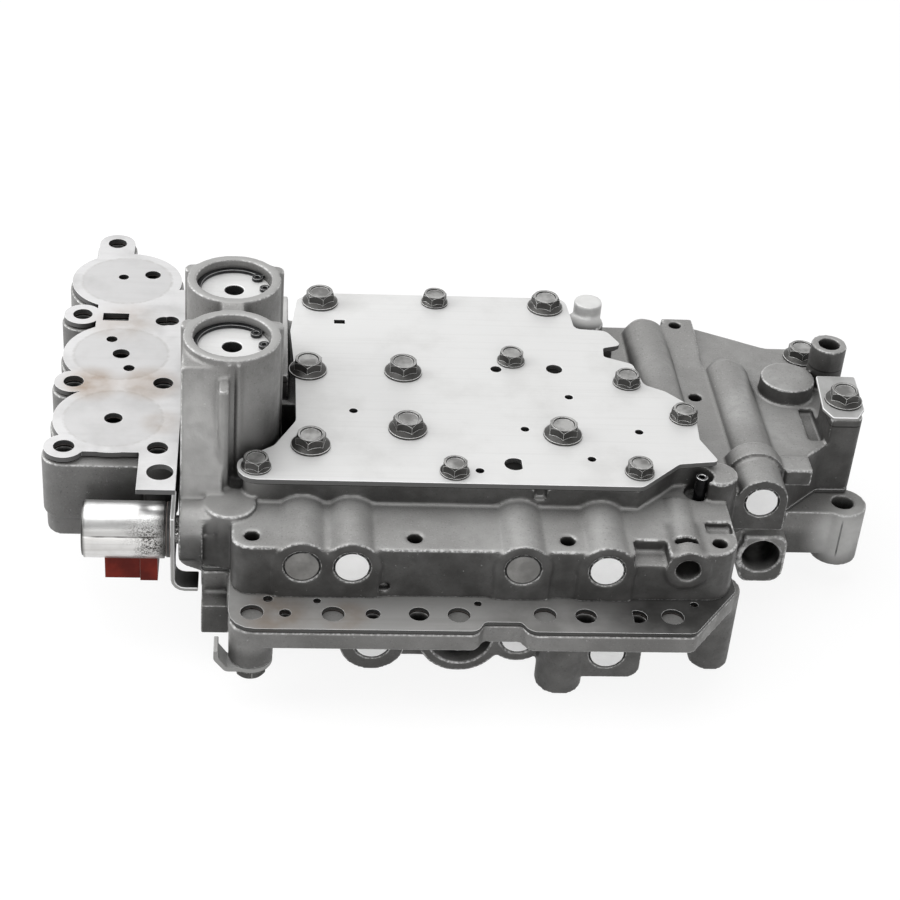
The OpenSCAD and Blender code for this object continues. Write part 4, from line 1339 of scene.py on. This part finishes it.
@dataclass(frozen=True)
class Studio:
    """Floor, light and camera.

    Attributes:
        eye: Place of the camera in millimetres.
        pitch: Degrees that it looks down.
        yaw: Degrees that it stands to the right.
        roll: Degrees that it leans.
        lens: Focal length in millimetres.
        sensor: Width of the sensor in millimetres.
        sky: Strength of the surround's light at the horizon and overhead.
        room: Strength of the surround in reflections, towards the camera and behind the object.
        floor_half: Half of the floor's side in metres.
        floor_glow: Share of white that the floor shows by itself.
        paper: Least and most share of white that the floor adds where it is lit.
        bounce: Colour of the floor to the light that it throws back.
        aim: Point in millimetres that the lamps face.
        lamps: The lamps.
    """

    eye: Point = (-79.5, -633.65, 480.7)
    pitch: float = 34.84
    yaw: float = -6.77
    roll: float = 5.08
    lens: float = 80.96
    sensor: float = 36.0
    sky: Span = (0.16, 0.45)
    room: Span = (0.45, 1.0)
    floor_half: float = 6.0
    floor_glow: float = 0.87
    paper: Span = (0.13, 0.16)
    bounce: Colour = (0.30, 0.30, 0.30)
    aim: Point = (0.0, 0.0, 40.0)
    lamps: tuple[Lamp, ...] = (
        Lamp("top_light", (-220.0, 160.0, 900.0), 0.9, 5.0),
        Lamp("left_light", (-900.0, 60.0, 380.0), 0.8, 6.0),
        Lamp("front_light", (150.0, -1000.0, 260.0), 0.8, 5.6),
    )

    def build(self) -> None:
        """Sets up floor, world, lamps and camera."""
        self._floor()
        self._world()
        for lamp in self.lamps:
            lamp.hang(self.aim)
        self._camera()
        bpy.context.scene.view_settings.view_transform = "Standard"

    def _floor(self) -> None:
        """Lays a white floor that shows white and keeps the shadow."""
        bm = bmesh.new()
        bmesh.ops.create_grid(bm, x_segments=1, y_segments=1, size=self.floor_half)
        mesh = mesh_of(bm, "floor")
        mesh.materials.append(self._floor_white())
        add_object("floor", mesh)

    def _floor_white(self) -> bpy.types.Material:
        """Floor that looks white, directly and in metal, and throws little light back up.

        Returns:
            The floor's material.
        """
        g = Surface("floor_white")
        seen = g.calc("MAXIMUM", g.ray("Camera"), g.ray("Glossy"))
        seen = g.calc("MAXIMUM", seen, g.ray("Transmission"))
        paper = g.band(g.noise(3.0), 0.2, 0.8, self.paper)
        colour = g.mix(seen, self.bounce, g.mix(paper, (0.0, 0.0, 0.0), WHITE))
        glow = g.times(seen, self.floor_glow)
        return g.finish(colour, 0.8, 0.0, Emission_Color=WHITE, Emission_Strength=glow)

    def _world(self) -> None:
        """Sets a soft surround: a plain light, white to the eye, and darker behind the camera in reflections."""
        world = bpy.data.worlds.new("studio")
        world.use_nodes = True
        bpy.context.scene.world = world
        g = Graph(world.node_tree)
        around = g.node("TexCoord", "Generated")
        light = g.band(g.along(around, Axis.Z), 0.0, 0.85, self.sky)
        mirrored = g.band(g.along(around, Axis.Y), -0.4, 0.3, self.room)
        strength = g.pick("Glossy", light, mirrored)
        for kind in ("Transmission", "Camera"):
            strength = g.pick(kind, strength, 1.0)
        back = world.node_tree.nodes["Background"].inputs
        g.feed(back["Color"], WHITE)
        g.feed(back["Strength"], strength)

    def _camera(self) -> None:
        """Stands the camera where the photograph was taken from."""
        p, a, r = (math.radians(v) for v in (self.pitch, self.yaw, self.roll))
        ahead = Vector((-math.sin(a) * math.cos(p), math.cos(a) * math.cos(p), -math.sin(p)))
        level = Vector((math.cos(a), math.sin(a), 0.0))
        upright = level.cross(ahead)
        right = math.cos(r) * level + math.sin(r) * upright
        above = -math.sin(r) * level + math.cos(r) * upright
        data = bpy.data.cameras.new("camera")
        data.sensor_width = self.sensor
        data.lens = self.lens
        data.clip_start = 0.01
        camera = add_object("camera", data)
        turn = Matrix((right, above, -ahead)).transposed().to_4x4()
        camera.matrix_world = Matrix.Translation(Vector(self.eye) * MM) @ turn
        bpy.context.scene.camera = camera


def main() -> None:
    """Builds every sub-assembly in order."""
    logging.basicConfig(level=logging.INFO, format="%(name)s %(message)s")
    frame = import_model()
    slots = {part["node"]: part["material_slot"] for part in frame["record"]["subparts"]}
    shop = Shop(frame["nodes"], slots)
    springs = Springs(frame["record"]["behaviour"]["joints"])
    groups: Sequence[SubAssembly] = (
        Castings(), CoverStack(), SideAccumulators(), Towers(), Valves(), springs, Solenoid(), Fasteners()
    )
    for group in groups:
        group.build(shop)
    Studio().build()


if __name__ == "__main__":
    main()
